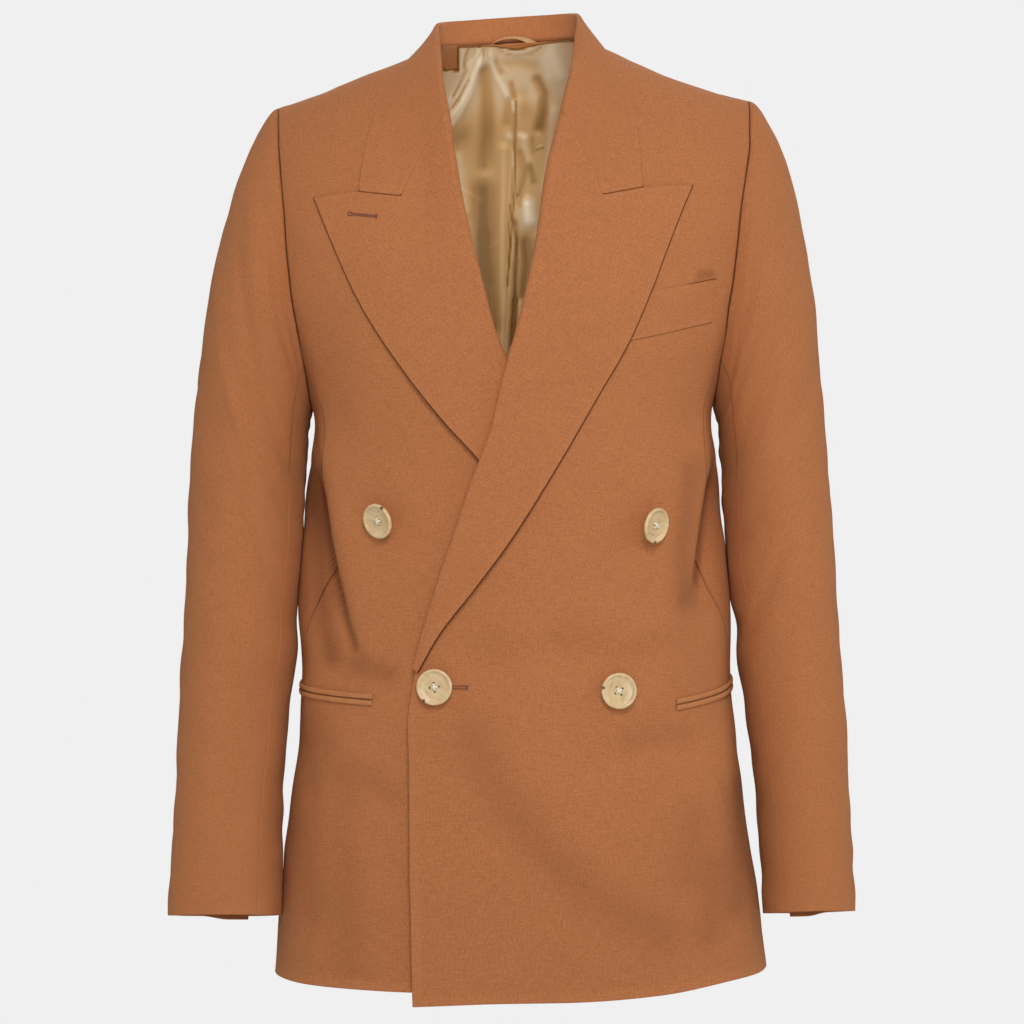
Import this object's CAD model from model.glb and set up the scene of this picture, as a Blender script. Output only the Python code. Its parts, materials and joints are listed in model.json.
import json
import math
import bmesh
import bpy
import numpy as np
from mathutils import Matrix, Vector
from mathutils.bvhtree import BVHTree

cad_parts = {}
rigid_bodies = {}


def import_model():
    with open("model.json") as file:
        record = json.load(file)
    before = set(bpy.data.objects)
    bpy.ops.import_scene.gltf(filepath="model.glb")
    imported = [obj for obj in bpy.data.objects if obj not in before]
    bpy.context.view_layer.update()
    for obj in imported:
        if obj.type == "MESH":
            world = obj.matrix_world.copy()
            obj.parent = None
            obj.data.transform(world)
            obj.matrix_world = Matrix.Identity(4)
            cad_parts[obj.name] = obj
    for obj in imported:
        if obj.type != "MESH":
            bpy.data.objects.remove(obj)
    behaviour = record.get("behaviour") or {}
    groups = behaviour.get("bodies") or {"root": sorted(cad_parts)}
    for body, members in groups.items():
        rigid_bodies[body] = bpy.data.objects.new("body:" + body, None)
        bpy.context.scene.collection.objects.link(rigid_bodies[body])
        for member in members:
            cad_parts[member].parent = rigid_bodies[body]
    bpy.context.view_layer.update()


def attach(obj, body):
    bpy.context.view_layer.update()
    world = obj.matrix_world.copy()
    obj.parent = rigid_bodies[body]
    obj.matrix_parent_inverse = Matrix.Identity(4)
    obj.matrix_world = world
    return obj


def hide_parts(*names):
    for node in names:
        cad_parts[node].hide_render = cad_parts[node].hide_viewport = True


# Double breasted blazer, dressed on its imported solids. Metres, front towards -Y, wearer's left +X.
# Everything is worked out for the wearer's left; side is 1 for the left and -1 for the mirrored right.

for thing in list(bpy.data.objects):
    bpy.data.objects.remove(thing, do_unlink=True)
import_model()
scene = bpy.context.scene
print("frame loaded")

cloth = {
    "wall": 0.0016,      # wool with its interlining
    "facing": 0.0014,    # lapels and collar
    "lining": 0.0008,
    "trim": 0.001,      # welt and jets
    "lay": 0.0009,       # room under what lies on a panel
    "gorge": 0.86,       # what is left of the wall along the collar's seam
    "seam": (0.0014, 0.55),    # how far a seam's valley reaches, what is left of the wall in it
    "fold": (0.0012, 0.16),    # the same for a folded edge
    "press": 0.004,     # how far the sheen of a pressed edge reaches
    "sunk": 0.0008, "seamDark": 0.6,     # how far and how dark the cloth turns in at a seam
    "leastFlat": 0.0102,
}


def easeStep(value):
    value = np.clip(value, 0, 1)
    return value * value * (3 - 2 * value)


def bell(distance, width):
    return np.exp(-((distance / width) ** 2))


def unit(vectors):
    return vectors / np.maximum(np.linalg.norm(vectors, axis=-1, keepdims=True), 1e-12)


def runLength(line):      # how far along a line each of its points lies
    return np.concatenate([[0], np.cumsum(np.linalg.norm(np.diff(line, axis=0), axis=1))])


def throughKeys(values, slopes, cell, part, step=1.0):      # smooth between two keys
    rise = values[cell] * (1 + 2 * part) * (1 - part) ** 2 + values[cell + 1] * part**2 * (3 - 2 * part)
    bend = slopes[cell] * part * (1 - part) ** 2 - slopes[cell + 1] * part**2 * (1 - part)
    return rise + bend * step


def smoothCurve(rows, column):
    keys, values = np.array([(row[0], row[column]) for row in rows], dtype=float).T
    dense = np.linspace(keys[0], keys[-1], 900)
    cell = np.clip(np.searchsorted(keys, dense, side="right") - 1, 0, len(keys) - 2)
    step = keys[cell + 1] - keys[cell]
    curve = throughKeys(values, np.gradient(values, keys), cell, (dense - keys[cell]) / step, step)
    return lambda at: np.interp(at, dense, curve)


def polyline(points, share):
    line = np.array(points, dtype=float)
    along = runLength(line)
    return np.stack([np.interp(share, along / along[-1], column) for column in line.T], axis=-1)


def smoothLine(points, share):
    line = np.array(points, dtype=float)
    along = runLength(line)
    rows = np.column_stack([along / along[-1], line])
    return np.stack([smoothCurve(rows, axis + 1)(share) for axis in range(line.shape[1])], axis=-1)


def spread(values, places, axis=0):    # smooth rows or columns at other shares of the way
    values = np.moveaxis(np.asarray(values, dtype=float), axis, 0)
    at = np.asarray(places) * (len(values) - 1)
    cell = np.clip(np.floor(at).astype(int), 0, len(values) - 2)
    part = (at - cell).reshape((-1,) + (1,) * (values.ndim - 1))
    return np.moveaxis(throughKeys(values, np.gradient(values, axis=0), cell, part), 0, axis)


def places(count, length, low=True, high=True, steps=(0.0003, 0.0007, 0.0012, 0.0019)):
    ends = np.array(steps) / length      # rows crowd towards a rounded edge
    start = ends if low else ends[:0]
    finish = 1 - ends[::-1] if high else ends[:0]
    inside = np.linspace(ends[-1] if low else 0, 1 - ends[-1] if high else 1, count)[1:-1]
    return np.concatenate([[0], start, inside, finish, [1]])


body = {
    # height, half width, depth of the front, depth of the back
    "sections": [
        (-0.76, 0.1986, 0.127, 0.118),
        (-0.685, 0.1905, 0.125, 0.117),
        (-0.62, 0.1834, 0.123, 0.114),
        (-0.575, 0.1776, 0.121, 0.108),
        (-0.53, 0.1723, 0.118, 0.098),
        (-0.49, 0.1697, 0.115, 0.089),
        (-0.45, 0.17, 0.113, 0.082),
        (-0.4, 0.1675, 0.112, 0.079),
        (-0.34, 0.1632, 0.113, 0.085),
        (-0.28, 0.158, 0.115, 0.094),
        (-0.262, 0.1632, 0.1155, 0.096),
        (-0.24, 0.1715, 0.116, 0.099),
        (-0.209, 0.183, 0.116, 0.101),
        (-0.163, 0.1945, 0.115, 0.103),
        (-0.11, 0.1995, 0.112, 0.104),
        (-0.038, 0.201, 0.108, 0.103),
        (0.06, 0.201, 0.106, 0.1),
    ],
    # height, half width of the armhole seam
    "armhole": [
        (-0.28, 0.158), (-0.262, 0.16), (-0.235, 0.164), (-0.209, 0.168),
        (-0.163, 0.1745), (-0.11, 0.18), (-0.08, 0.184), (-0.038, 0.187),
    ],
    # half width, height of the shoulder ridge, carried on over the neck
    "ridge": [
        (-0.03, 0.037), (0.0, 0.048), (0.03, 0.037), (0.066, 0.008), (0.084, 0.0),
        (0.15, -0.027), (0.187, -0.038), (0.23, -0.05),
    ],
    "neck": (0.066, 0.008),       # half width, height
    "tip": (0.187, -0.038),
    "neckMiddle": 0.0174,
    "armpit": -0.28,
    "powers": (2.4, 2.6),           # roundness of the front and the back
    "frontRise": (0.2, 0.1),    # how far down the shoulder's rounding reaches, at neck and tip
    "backRise": (0.15, 0.11),
    "overlap": (0.0032, 0.0064),    # lift of the left front over one cloth, over the right lapel
    "radius": 0.15,
    "lowShade": 0.07,               # the cloth is a little deeper in colour towards the hem
    "lean": 0.004,                 # the shoulders sit a little towards the wearer's left
    "tilt": 0.055,                  # and the collar stands a little higher on that side
}
# side, turn and height where a drape starts and ends, half width, how far it stands out
drapes = [
    (-1, 80.0, -0.335, 67.0, -0.4, 0.013, -0.0045),
    (-1, 67.0, -0.4, 53.0, -0.48, 0.017, -0.0045),
    (-1, 66.0, -0.3, 45.0, -0.44, 0.018, 0.003),
    (-1, 94.0, -0.335, 94.0, -0.44, 0.028, 0.0026),
    (-1, 75.5, -0.35, 64.0, -0.435, 0.026, -0.0105),
    (1, 80.0, -0.34, 69.0, -0.39, 0.013, -0.0045),
    (1, 69.0, -0.39, 57.0, -0.455, 0.016, -0.004),
    (1, 68.0, -0.3, 47.0, -0.42, 0.018, 0.0028),
    (1, 76.0, -0.35, 64.0, -0.43, 0.027, -0.0115),
    (-1, 30.0, -0.56, 22.0, -0.74, 0.03, -0.003),
    (-1, 56.0, -0.56, 60.0, -0.74, 0.028, 0.0035),
    (1, 60.0, -0.56, 66.0, -0.74, 0.028, 0.0035),
    (1, 40.0, -0.54, 30.0, -0.74, 0.032, -0.003),
    (1, 10.0, -0.56, 22.0, -0.74, 0.03, 0.002),
    (0, 128.0, -0.2, 150.0, -0.42, 0.026, -0.0045),
    (0, 118.0, -0.3, 132.0, -0.47, 0.022, 0.0035),
    (0, 145.0, -0.52, 138.0, -0.73, 0.032, 0.004),
    (0, 162.0, -0.5, 160.0, -0.73, 0.028, -0.0035),
]
# millimetres: this crease of the left front is pressed into the right one under it too
overlapCrease = [(-43, -511), (-29, -553), (-7, -600), (23, -635), (62, -662), (100, -677)]
# side, 1 on the front or -1 on the back, millimetres: half width, how far it stands out, where it runs
creases = [
    (1, 1, 7.5, -6, [(163, -328), (158, -355), (151, -390), (142, -432)]),
    (1, 1, 5, 1.4, [(158, -309), (149, -355), (140, -390), (132, -432)]),
    (1, 1, 7.5, -3, [(134, -420), (131, -440), (135, -467)]),
    (1, 1, 11, 2.2, [(135, -332), (124, -370), (117, -401)]),
    (1, 1, 7, -2.2, [(113, -401), (103, -424), (96, -443)]),
    (1, 1, 11, 2, [(107, -462), (116, -482), (125, -501)]),
    (1, 1, 14, -2.2, [(-36, -490), (2, -473), (49, -466), (87, -462)]),
    (1, 1, 17, -3.4, overlapCrease),
    (1, 1, 12, -2.6, [(140, -536), (94, -539), (59, -558), (36, -585)]),
    (1, 1, 13, 1.4, [(94, -509), (63, -520), (32, -531)]),
    (1, 1, 13, -3.6, [(175, -560), (173, -610), (169, -664)]),
    (-1, 1, 8.5, -8.5, [(160, -328), (155, -367), (147, -409), (137, -444), (129, -469)]),
    (-1, 1, 17, -3.4, [(-x, z) for x, z in overlapCrease]),
    (-1, 1, 5, 1.6, [(151, -300), (147, -367), (139, -409), (128, -444), (118, -469)]),
    (-1, 1, 7.5, -2.6, [(140, -481), (113, -481), (89, -488)]),
    (-1, 1, 8, 2, [(119, -460), (107, -471)]),
    (-1, 1, 9, -2.2, [(168, -528), (164, -559), (155, -594)]),
    (-1, 1, 10, -1.8, [(134, -575), (129, -594), (117, -614)]),
    (-1, 1, 11, 1.4, [(145, -536), (134, -567)]),
    (1, -1, 10, -3.2, [(150, -300), (128, -350), (112, -405)]),
    (1, -1, 12, 2, [(128, -270), (100, -330), (88, -380)]),
    (1, -1, 11, -2.2, [(122, -440), (70, -448), (16, -440)]),
    (-1, -1, 10, -3, [(148, -312), (130, -352), (104, -398)]),
    (-1, -1, 12, 2.2, [(120, -280), (96, -322), (82, -372)]),
    (-1, -1, 10, -2.4, [(128, -452), (80, -458), (30, -446)]),
    (0, -1, 15, -2.6, [(50, -530), (64, -610), (72, -690)]),
    (0, -1, 14, -1.6, [(30, -80), (80, -110), (130, -130)]),
]
# side, millimetres: line on the front and half width, how dark the cloth is where it turns away under a fold
shades = [
    (-1, [(162, -330), (156, -367), (153, -410), (150, -445), (143, -474)], 8, -0.46),
    (-1, [(155, -296), (152, -327), (148, -359), (143, -394), (134, -431), (124, -465)], 2.4, -0.5),
    (-1, [(124, -482), (99, -487)], 8.5, -0.26),
    (-1, [(161, -523), (136, -555), (97, -579)], 11.7, -0.14),
    (-1, [(136, -571), (133, -634), (132, -712)], 12.5, -0.12),
    (-1, [(171, -530), (166, -600), (162, -670)], 15, -0.18),
    (1, [(138, -331), (132, -370), (129, -402), (132, -433)], 9.4, -0.26),
    (1, [(159, -304), (156, -329), (152, -349), (147, -371), (145, -394), (142, -418)], 2.5, -0.5),
    (1, [(146, -181.2), (155, -179)], 3, -0.4),
    (1, [(170, -585), (173, -637), (171, -672)], 12, -0.3),
    (1, [(152, -640), (146, -690)], 12, -0.16),
    (1, [(132, -537), (88, -541)], 9.5, -0.13),
    (1, [(137, -602), (129, -645)], 15.6, -0.14),
    (1, [(-37, -535), (-15, -586), (20, -629), (54, -660), (108, -688)], 18.7, -0.15),
    (1, [(34, -462), (80, -471), (117, -463)], 10.9, -0.1),
    (1, [(-19, -462), (-13, -473)], 23.4, -0.08),
]
# length, direction in degrees, height and shift of the slight unevenness of tailored cloth
unevenness = [
    (0.083, 17.0, 0.0003, 0.3), (0.061, 103.0, 0.00026, 1.9), (0.047, 61.0, 0.00018, 4.1),
    (0.034, 142.0, 0.00012, 2.6), (0.112, 82.0, 0.00032, 5.2),
]

halfWidthAt = smoothCurve(body["sections"], 1)
frontDepthAt = smoothCurve(body["sections"], 2)
backDepthAt = smoothCurve(body["sections"], 3)
armholeAt = smoothCurve(body["armhole"], 1)
ridgeAt = smoothCurve(body["ridge"], 1)


def capAt(width, height, isFront):
    fromNeckToTip = (body["neck"][0], body["tip"][0])
    frontRise, backRise = (np.interp(width, fromNeckToTip, body[face]) for face in ("frontRise", "backRise"))
    rise = np.where(isFront, frontRise, backRise)
    climb = np.clip((height - ridgeAt(width) + rise) / rise, 0, None)
    return 1 - climb**2


def bodyPoint(turn, height):
    isFront = np.cos(turn) >= 0
    power = np.where(isFront, *body["powers"])
    depth = np.where(isFront, -frontDepthAt(height), backDepthAt(height))
    width = halfWidthAt(height) * np.sin(turn)
    side = np.clip(1 - np.abs(np.sin(turn)) ** power, 0, None) ** (1 / power)
    cap = np.sqrt(np.clip(capAt(np.abs(width), height, isFront), 0, None))
    return np.stack([width, depth * side * cap, height + 0 * width], axis=-1)


def bodyField(point):
    width = np.abs(point[..., 0])
    isFront = point[..., 1] < 0
    power = np.where(isFront, *body["powers"])
    depth = np.where(isFront, frontDepthAt(point[..., 2]), backDepthAt(point[..., 2]))
    cap = capAt(width, point[..., 2], isFront)
    cap = np.sign(cap) * np.abs(cap) ** (power / 2)
    side = 1 - (width / halfWidthAt(point[..., 2])) ** power
    room = np.where((cap < 0) & (side < 0), -np.abs(cap * side), cap * side)
    return (np.abs(point[..., 1]) / depth) ** power - room


def bodySlope(point, reach=2e-4):
    steps = np.eye(3) * reach
    parts = [bodyField(point + step) - bodyField(point - step) for step in steps]
    return np.stack(parts, axis=-1) / (2 * reach)


def outward(point):
    return unit(bodySlope(point))


def keepClear(point, layer):
    point = point.copy()
    for _ in range(6):
        slope = bodySlope(point)
        size = np.maximum(np.linalg.norm(slope, axis=-1), 1e-6)
        short = np.clip(layer - bodyField(point) / size, 0, 0.004)
        point += slope / size[..., None] * short[..., None]
    return point


def drapeOut(side, turn, height):
    total = 0 * turn
    for owner, turnA, heightA, turnB, heightB, width, depth in drapes:
        if owner not in (0, side):
            continue
        start = np.array([math.radians(turnA) * body["radius"], heightA])
        way = np.array([math.radians(turnB) * body["radius"], heightB]) - start
        across, up = turn * body["radius"] - start[0], height - start[1]
        share = (across * way[0] + up * way[1]) / way.dot(way)
        nearest = np.clip(share, 0, 1)
        away = np.hypot(across - nearest * way[0], up - nearest * way[1])
        ends = easeStep((share + 0.35) / 0.5) * easeStep((1.35 - share) / 0.5)
        total = total + depth * bell(away, width) * ends
    return total


def alongLine(line, across, up):       # distance to a crease and share of its length
    line = np.array(line)
    done = runLength(line)
    nearest = np.full(across.shape, 1e9)
    share = np.zeros(across.shape)
    for start, step, before, after in zip(line, np.diff(line, axis=0), done, done[1:]):
        length = after - before
        part = np.clip(((across - start[0]) * step[0] + (up - start[1]) * step[1]) / length**2, 0, 1)
        away = np.hypot(across - start[0] - part * step[0], up - start[1] - part * step[1])
        share = np.where(away < nearest, (before + part * length) / done[-1], share)
        nearest = np.minimum(away, nearest)
    return nearest, share


def creaseOut(side, turn, width, height):
    total = 0 * width
    for owner, face, reach, depth, line in creases:
        if owner in (0, side):
            away, share = alongLine(line, width * 1000, height * 1000)
            taper = 0.25 + 0.75 * easeStep(share / 0.3) * easeStep((1 - share) / 0.3)
            seen = easeStep(face * np.cos(turn) / 0.15 + 0.5)
            total = total + depth / 1000 * bell(away, reach) * taper * seen
    return total


def shadeAt(side, turn, width, height):
    total = 0 * width
    for owner, line, reach, amount in shades:
        if owner == side:
            total = total + amount * bell(alongLine(line, width * 1000, height * 1000)[0], reach)
    total = total * easeStep(np.cos(turn) / 0.2 + 0.6)
    return total - body["lowShade"] * easeStep((-0.52 - height) / 0.18)


def unevenOut(side, across, up):
    total = 0 * across
    for length, heading, size, shift in unevenness:
        way = math.radians(heading)
        place = (across * math.cos(way) + up * math.sin(way)) * 2 * math.pi / length
        bent = place + 1.3 * np.sin(place * 0.37 + side * 1.7 + shift)
        total = total + size * np.sin(bent + shift + side * 0.9)
    return total


def liftOut(side, width, height):
    if side < 0:
        return 0 * width
    over = easeStep((-0.15 - height) / 0.09)
    low, high = body["overlap"]
    size = low + (high - low) * easeStep((height + 0.56) / 0.07)
    return size * over * easeStep((0.165 - width) / 0.06)


def frontTurn(width, height):
    return np.arcsin(np.clip(width / halfWidthAt(height), -1, 1))


def layOn(side, turn, height, layer=0.0):
    base = bodyPoint(turn, height)
    out = drapeOut(side, turn, height) + creaseOut(side, turn, base[..., 0], height) + layer
    out = out + unevenOut(side, turn * body["radius"], height)
    out = out + np.where(np.cos(turn) > 0, liftOut(side, base[..., 0], height), 0)
    return base + outward(base) * out[..., None]


def layFront(side, width, height, layer=0.0):
    return layOn(side, frontTurn(width, height), height, layer + 0 * width)


def lean(points):
    points = np.array(points, dtype=float)
    high = bell(points[..., 2] + 0.06, 0.08)
    points[..., 2] += body["tilt"] * points[..., 0] * easeStep((points[..., 2] + 0.02) / 0.05)
    points[..., 0] += body["lean"] * high * easeStep((np.abs(points[..., 0]) - 0.1) / 0.06)
    return points


# shells of cloth

sheetSizes = []


def edgeDistance(grid, edge):
    axis = 0 if edge in ("low", "high") else 1
    steps = np.linalg.norm(np.diff(grid, axis=axis), axis=-1)
    if edge in ("high", "right"):
        steps = np.flip(steps, axis=axis)
    start = np.zeros_like(np.take(steps, [0], axis=axis))
    away = np.concatenate([start, np.cumsum(steps, axis=axis)], axis=axis)
    return np.flip(away, axis=axis) if edge in ("high", "right") else away


def roundEdges(outer, inner, rims):
    middle = (outer + inner) / 2
    left = np.ones(outer.shape[:2])
    press, sunk = np.zeros(outer.shape[:2]), np.zeros(outer.shape[:2])
    for edge, (radius, kept) in rims.items():
        away = edgeDistance(outer, edge)
        kept = np.asarray(kept, dtype=float)
        if kept.ndim:
            kept = kept[None, :] if edge in ("low", "high") else kept[:, None]
        lift = np.sqrt(np.clip(1 - np.clip(1 - away / radius, 0, 1) ** 2, 0, 1))
        left = left * (kept + (1 - kept) * lift)
        if radius == cloth["seam"][0]:
            sunk = np.maximum(sunk, bell(away, cloth["sunk"]))
        else:
            press = np.maximum(press, bell(away, cloth["press"]))
    press = press - cloth["seamDark"] * sunk
    return middle + (outer - middle) * left[..., None], middle + (inner - middle) * left[..., None], press


def allRound(radius, kept):
    return {edge: (radius, kept) for edge in ("left", "right", "low", "high")}


def gridNormals(grid):
    return unit(np.cross(np.gradient(grid, axis=1), np.gradient(grid, axis=0)))


def addShell(name, outer, inner, side, rims, finishes, nodes, grain=None, lined=None, slotName="wool",
             tone=0.0):
    outer, inner, press = roundEdges(outer, inner, rims)
    press = tone + (press if slotName == "wool" else 0)
    across, up = edgeDistance(outer, "left"), edgeDistance(outer, "low")
    grain = np.stack(grain or (across, up), axis=-1).reshape(-1, 2)
    rows, columns = outer.shape[:2]
    count = rows * columns
    points = np.concatenate([outer.reshape(-1, 3), inner.reshape(-1, 3)])
    points[:, 0] *= side
    points = lean(points)
    index = np.arange(count).reshape(rows, columns)
    quads = np.stack([index[:-1, :-1], index[:-1, 1:], index[1:, 1:], index[1:, :-1]], axis=-1).reshape(-1, 4)
    ring = np.concatenate([index[0, :-1], index[:-1, -1], index[-1, :0:-1], index[:0:-1, 0]])
    follow = np.roll(ring, -1)
    rim = np.stack([follow, ring, ring + count, follow + count], axis=-1)
    faces = np.concatenate([quads, quads[:, ::-1] + count, rim])
    corners = points[quads]
    facing = np.cross(corners[:, 2] - corners[:, 0], corners[:, 3] - corners[:, 1])
    thickness = (points[:count] - points[count:])[quads[:, 0]]
    if np.mean(np.einsum("ij,ij->i", facing, thickness)) < 0:
        faces = faces[:, ::-1]
    mesh = bpy.data.meshes.new(name)
    mesh.from_pydata(points.tolist(), [], faces.tolist())
    slots = np.zeros(len(faces), dtype=np.int32)
    if lined is not None:
        slots[len(quads):2 * len(quads)] = lined[:-1, :-1].reshape(-1)
    mesh.polygons.foreach_set("material_index", slots)
    finishMesh(mesh, np.concatenate([grain, grain]), np.concatenate([press, press]).reshape(-1))
    flat = [max(float(edge.max()), cloth["leastFlat"]) for edge in (across[:, -1], up[-1])]
    area = float(np.linalg.norm(facing, axis=1).sum() / 2)
    piece = addPiece(name, mesh, finishes, nodes)
    sheetSizes.append((name, flat[0], flat[1], area))


def finishMesh(mesh, grain, press):
    corner = np.empty(len(mesh.loops), dtype=np.int32)
    mesh.loops.foreach_get("vertex_index", corner)
    layer = mesh.uv_layers.new(name="grain")
    layer.data.foreach_set("uv", grain[corner].astype(np.float32).ravel())
    marks = mesh.attributes.new("press", "FLOAT", "POINT")
    marks.data.foreach_set("value", press.astype(np.float32))
    mesh.shade_smooth()
    mesh.update()


def addObject(name, data):
    thing = bpy.data.objects.new(name, data)
    scene.collection.objects.link(thing)
    return thing


def addPiece(name, mesh, finishes, nodes=()):
    piece = addObject(name, mesh)
    for finish in finishes:
        mesh.materials.append(finish)
    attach(piece, "root")
    if nodes:
        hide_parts(*nodes)
    return piece


# node groups

def newGroup(name, inputs, outputs):
    group = bpy.data.node_groups.new(name, "ShaderNodeTree")
    for label, kind, value in inputs:
        socket = group.interface.new_socket(name=label, in_out="INPUT", socket_type=kind)
        if value is not None:
            socket.default_value = value
    for label, kind in outputs:
        group.interface.new_socket(name=label, in_out="OUTPUT", socket_type=kind)
    return group, group.nodes.new("NodeGroupInput"), group.nodes.new("NodeGroupOutput")


def wire(tree, target, source):
    if isinstance(source, bpy.types.NodeSocket):
        tree.links.new(source, target)
    else:
        target.default_value = source


def sums(tree, operation, first, second=0.0, third=0.0, clamp=False):
    node = tree.nodes.new("ShaderNodeMath")
    node.operation = operation
    node.use_clamp = clamp
    for socket, value in zip(node.inputs, (first, second, third)):
        wire(tree, socket, value)
    return node.outputs[0]


def cloudy(tree, vector, stretch, detail=2.0, roughness=0.5):
    mapping = tree.nodes.new("ShaderNodeVectorMath")
    mapping.operation = "MULTIPLY"
    wire(tree, mapping.inputs[0], vector)
    wire(tree, mapping.inputs[1], stretch)
    noise = tree.nodes.new("ShaderNodeTexNoise")
    noise.noise_dimensions = "3D"
    noise.inputs["Scale"].default_value = 1.0
    noise.inputs["Detail"].default_value = detail
    noise.inputs["Roughness"].default_value = roughness
    tree.links.new(mapping.outputs[0], noise.inputs["Vector"])
    return noise.outputs["Fac"]


def splitGrain(group, given):
    split = group.nodes.new("ShaderNodeSeparateXYZ")
    group.links.new(given.outputs["Grain"], split.inputs[0])
    return split.outputs["X"], split.outputs["Y"]


def makeWeave():      # plain weave of slubby yarn
    group, given, result = newGroup(
        "plain weave",
        [("Grain", "NodeSocketVector", None), ("Yarns", "NodeSocketFloat", 1900.0), ("Slub", "NodeSocketFloat", 1.0),
         ("Relief", "NodeSocketFloat", 0.25)],
        [("Tone", "NodeSocketFloat"), ("Height", "NodeSocketFloat")],
    )
    yarns = [sums(group, "MULTIPLY", way, given.outputs["Yarns"]) for way in splitGrain(group, given)]
    over, under = [
        sums(group, "ABSOLUTE", sums(group, "SINE", sums(group, "MULTIPLY", yarn, math.pi))) for yarn in yarns
    ]
    cell = sums(group, "ADD", *[sums(group, "FLOOR", yarn) for yarn in yarns])
    parity = sums(group, "PINGPONG", cell, 1.0)
    weft = sums(group, "MULTIPLY", under, sums(group, "SUBTRACT", 1.0, parity))
    height = sums(group, "MULTIPLY_ADD", over, parity, weft)
    upright = cloudy(group, given.outputs["Grain"], (900.0, 110.0, 1.0), 2.0, 0.6)
    level = cloudy(group, given.outputs["Grain"], (90.0, 900.0, 1.0), 2.0, 0.6)
    speckle = cloudy(group, given.outputs["Grain"], (760.0, 760.0, 1.0), 3.0, 0.7)
    streaks = sums(group, "MULTIPLY_ADD", sums(group, "ADD", upright, level), 0.6, -0.6)
    slub = sums(group, "ADD", streaks, sums(group, "MULTIPLY_ADD", speckle, 1.8, -0.9))
    slub = sums(group, "MULTIPLY", slub, given.outputs["Slub"])
    relief = sums(group, "MULTIPLY", sums(group, "SUBTRACT", height, 0.6), given.outputs["Relief"])
    wire(group, result.inputs["Tone"], sums(group, "ADD", sums(group, "ADD", slub, relief), 0.5, clamp=True))
    wire(group, result.inputs["Height"], sums(group, "MULTIPLY_ADD", height, 0.6, sums(group, "MULTIPLY", slub, 0.9)))
    return group


def makeDye():        # slow unevenness of dye and handling
    group, given, result = newGroup(
        "uneven dye",
        [("Place", "NodeSocketVector", None), ("Patch", "NodeSocketFloat", 9.0)],
        [("Tone", "NodeSocketFloat")],
    )
    wide = group.nodes.new("ShaderNodeVectorMath")
    wide.operation = "SCALE"
    wire(group, wide.inputs[0], given.outputs["Place"])
    wire(group, wide.inputs["Scale"], given.outputs["Patch"])
    slow, fine = (cloudy(group, wide.outputs[0], (size,) * 3, 2.0, 0.5) for size in (1.0, 14.0))
    wire(group, result.inputs["Tone"], sums(group, "MULTIPLY_ADD", slow, 0.7, sums(group, "MULTIPLY", fine, 0.3)))
    return group


def makeTwist():      # plies of a sewing thread
    group, given, result = newGroup(
        "thread twist",
        [("Grain", "NodeSocketVector", None), ("Plies", "NodeSocketFloat", 900.0)],
        [("Tone", "NodeSocketFloat"), ("Height", "NodeSocketFloat")],
    )
    slanted = sums(group, "ADD", *splitGrain(group, given))
    wave = sums(group, "SINE", sums(group, "MULTIPLY", slanted, given.outputs["Plies"]))
    height = sums(group, "MULTIPLY_ADD", wave, 0.5, 0.5)
    haze = cloudy(group, given.outputs["Grain"], (300.0, 300.0, 300.0), 2.0, 0.5)
    wire(group, result.inputs["Height"], height)
    wire(group, result.inputs["Tone"], sums(group, "MULTIPLY", sums(group, "ADD", height, haze), 0.5))
    return group


weaveGroup, dyeGroup, twistGroup = makeWeave(), makeDye(), makeTwist()


# finishes

def newFinish(name, **sockets):
    finish = bpy.data.materials.new(name)
    finish.use_nodes = True
    shader = finish.node_tree.nodes["Principled BSDF"]
    for label, value in sockets.items():
        shader.inputs[label.replace("_", " ")].default_value = value
    return finish, finish.node_tree, shader.inputs


def placeGroup(tree, group, **values):
    node = tree.nodes.new("ShaderNodeGroup")
    node.node_tree = group
    for label, value in values.items():
        wire(tree, node.inputs[label], value)
    return node.outputs


def grainOf(tree):
    node = tree.nodes.new("ShaderNodeUVMap")
    node.uv_map = "grain"
    return node.outputs[0]


def placeOf(tree):
    return tree.nodes.new("ShaderNodeNewGeometry").outputs["Position"]


def pressOf(tree):      # what is above nought, and how far the rest is below it
    node = tree.nodes.new("ShaderNodeAttribute")
    node.attribute_name = "press"
    press = node.outputs["Fac"]
    return sums(tree, "MAXIMUM", press, 0.0), sums(tree, "MAXIMUM", sums(tree, "MULTIPLY", press, -1.0), 0.0)


def blendColours(tree, factor, first, second, mode="MIX"):
    node = tree.nodes.new("ShaderNodeMix")
    node.data_type = "RGBA"
    node.blend_type = mode
    wire(tree, node.inputs[0], factor)
    for socket, colour in ((node.inputs[6], first), (node.inputs[7], second)):
        wire(tree, socket, colour if isinstance(colour, bpy.types.NodeSocket) else (*colour, 1.0))
    return node.outputs[2]


def addBump(tree, shader, height, strength, distance):
    bump = tree.nodes.new("ShaderNodeBump")
    bump.inputs["Strength"].default_value = strength
    bump.inputs["Distance"].default_value = distance
    wire(tree, bump.inputs["Height"], height)
    wire(tree, shader["Normal"], bump.outputs[0])


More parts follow.
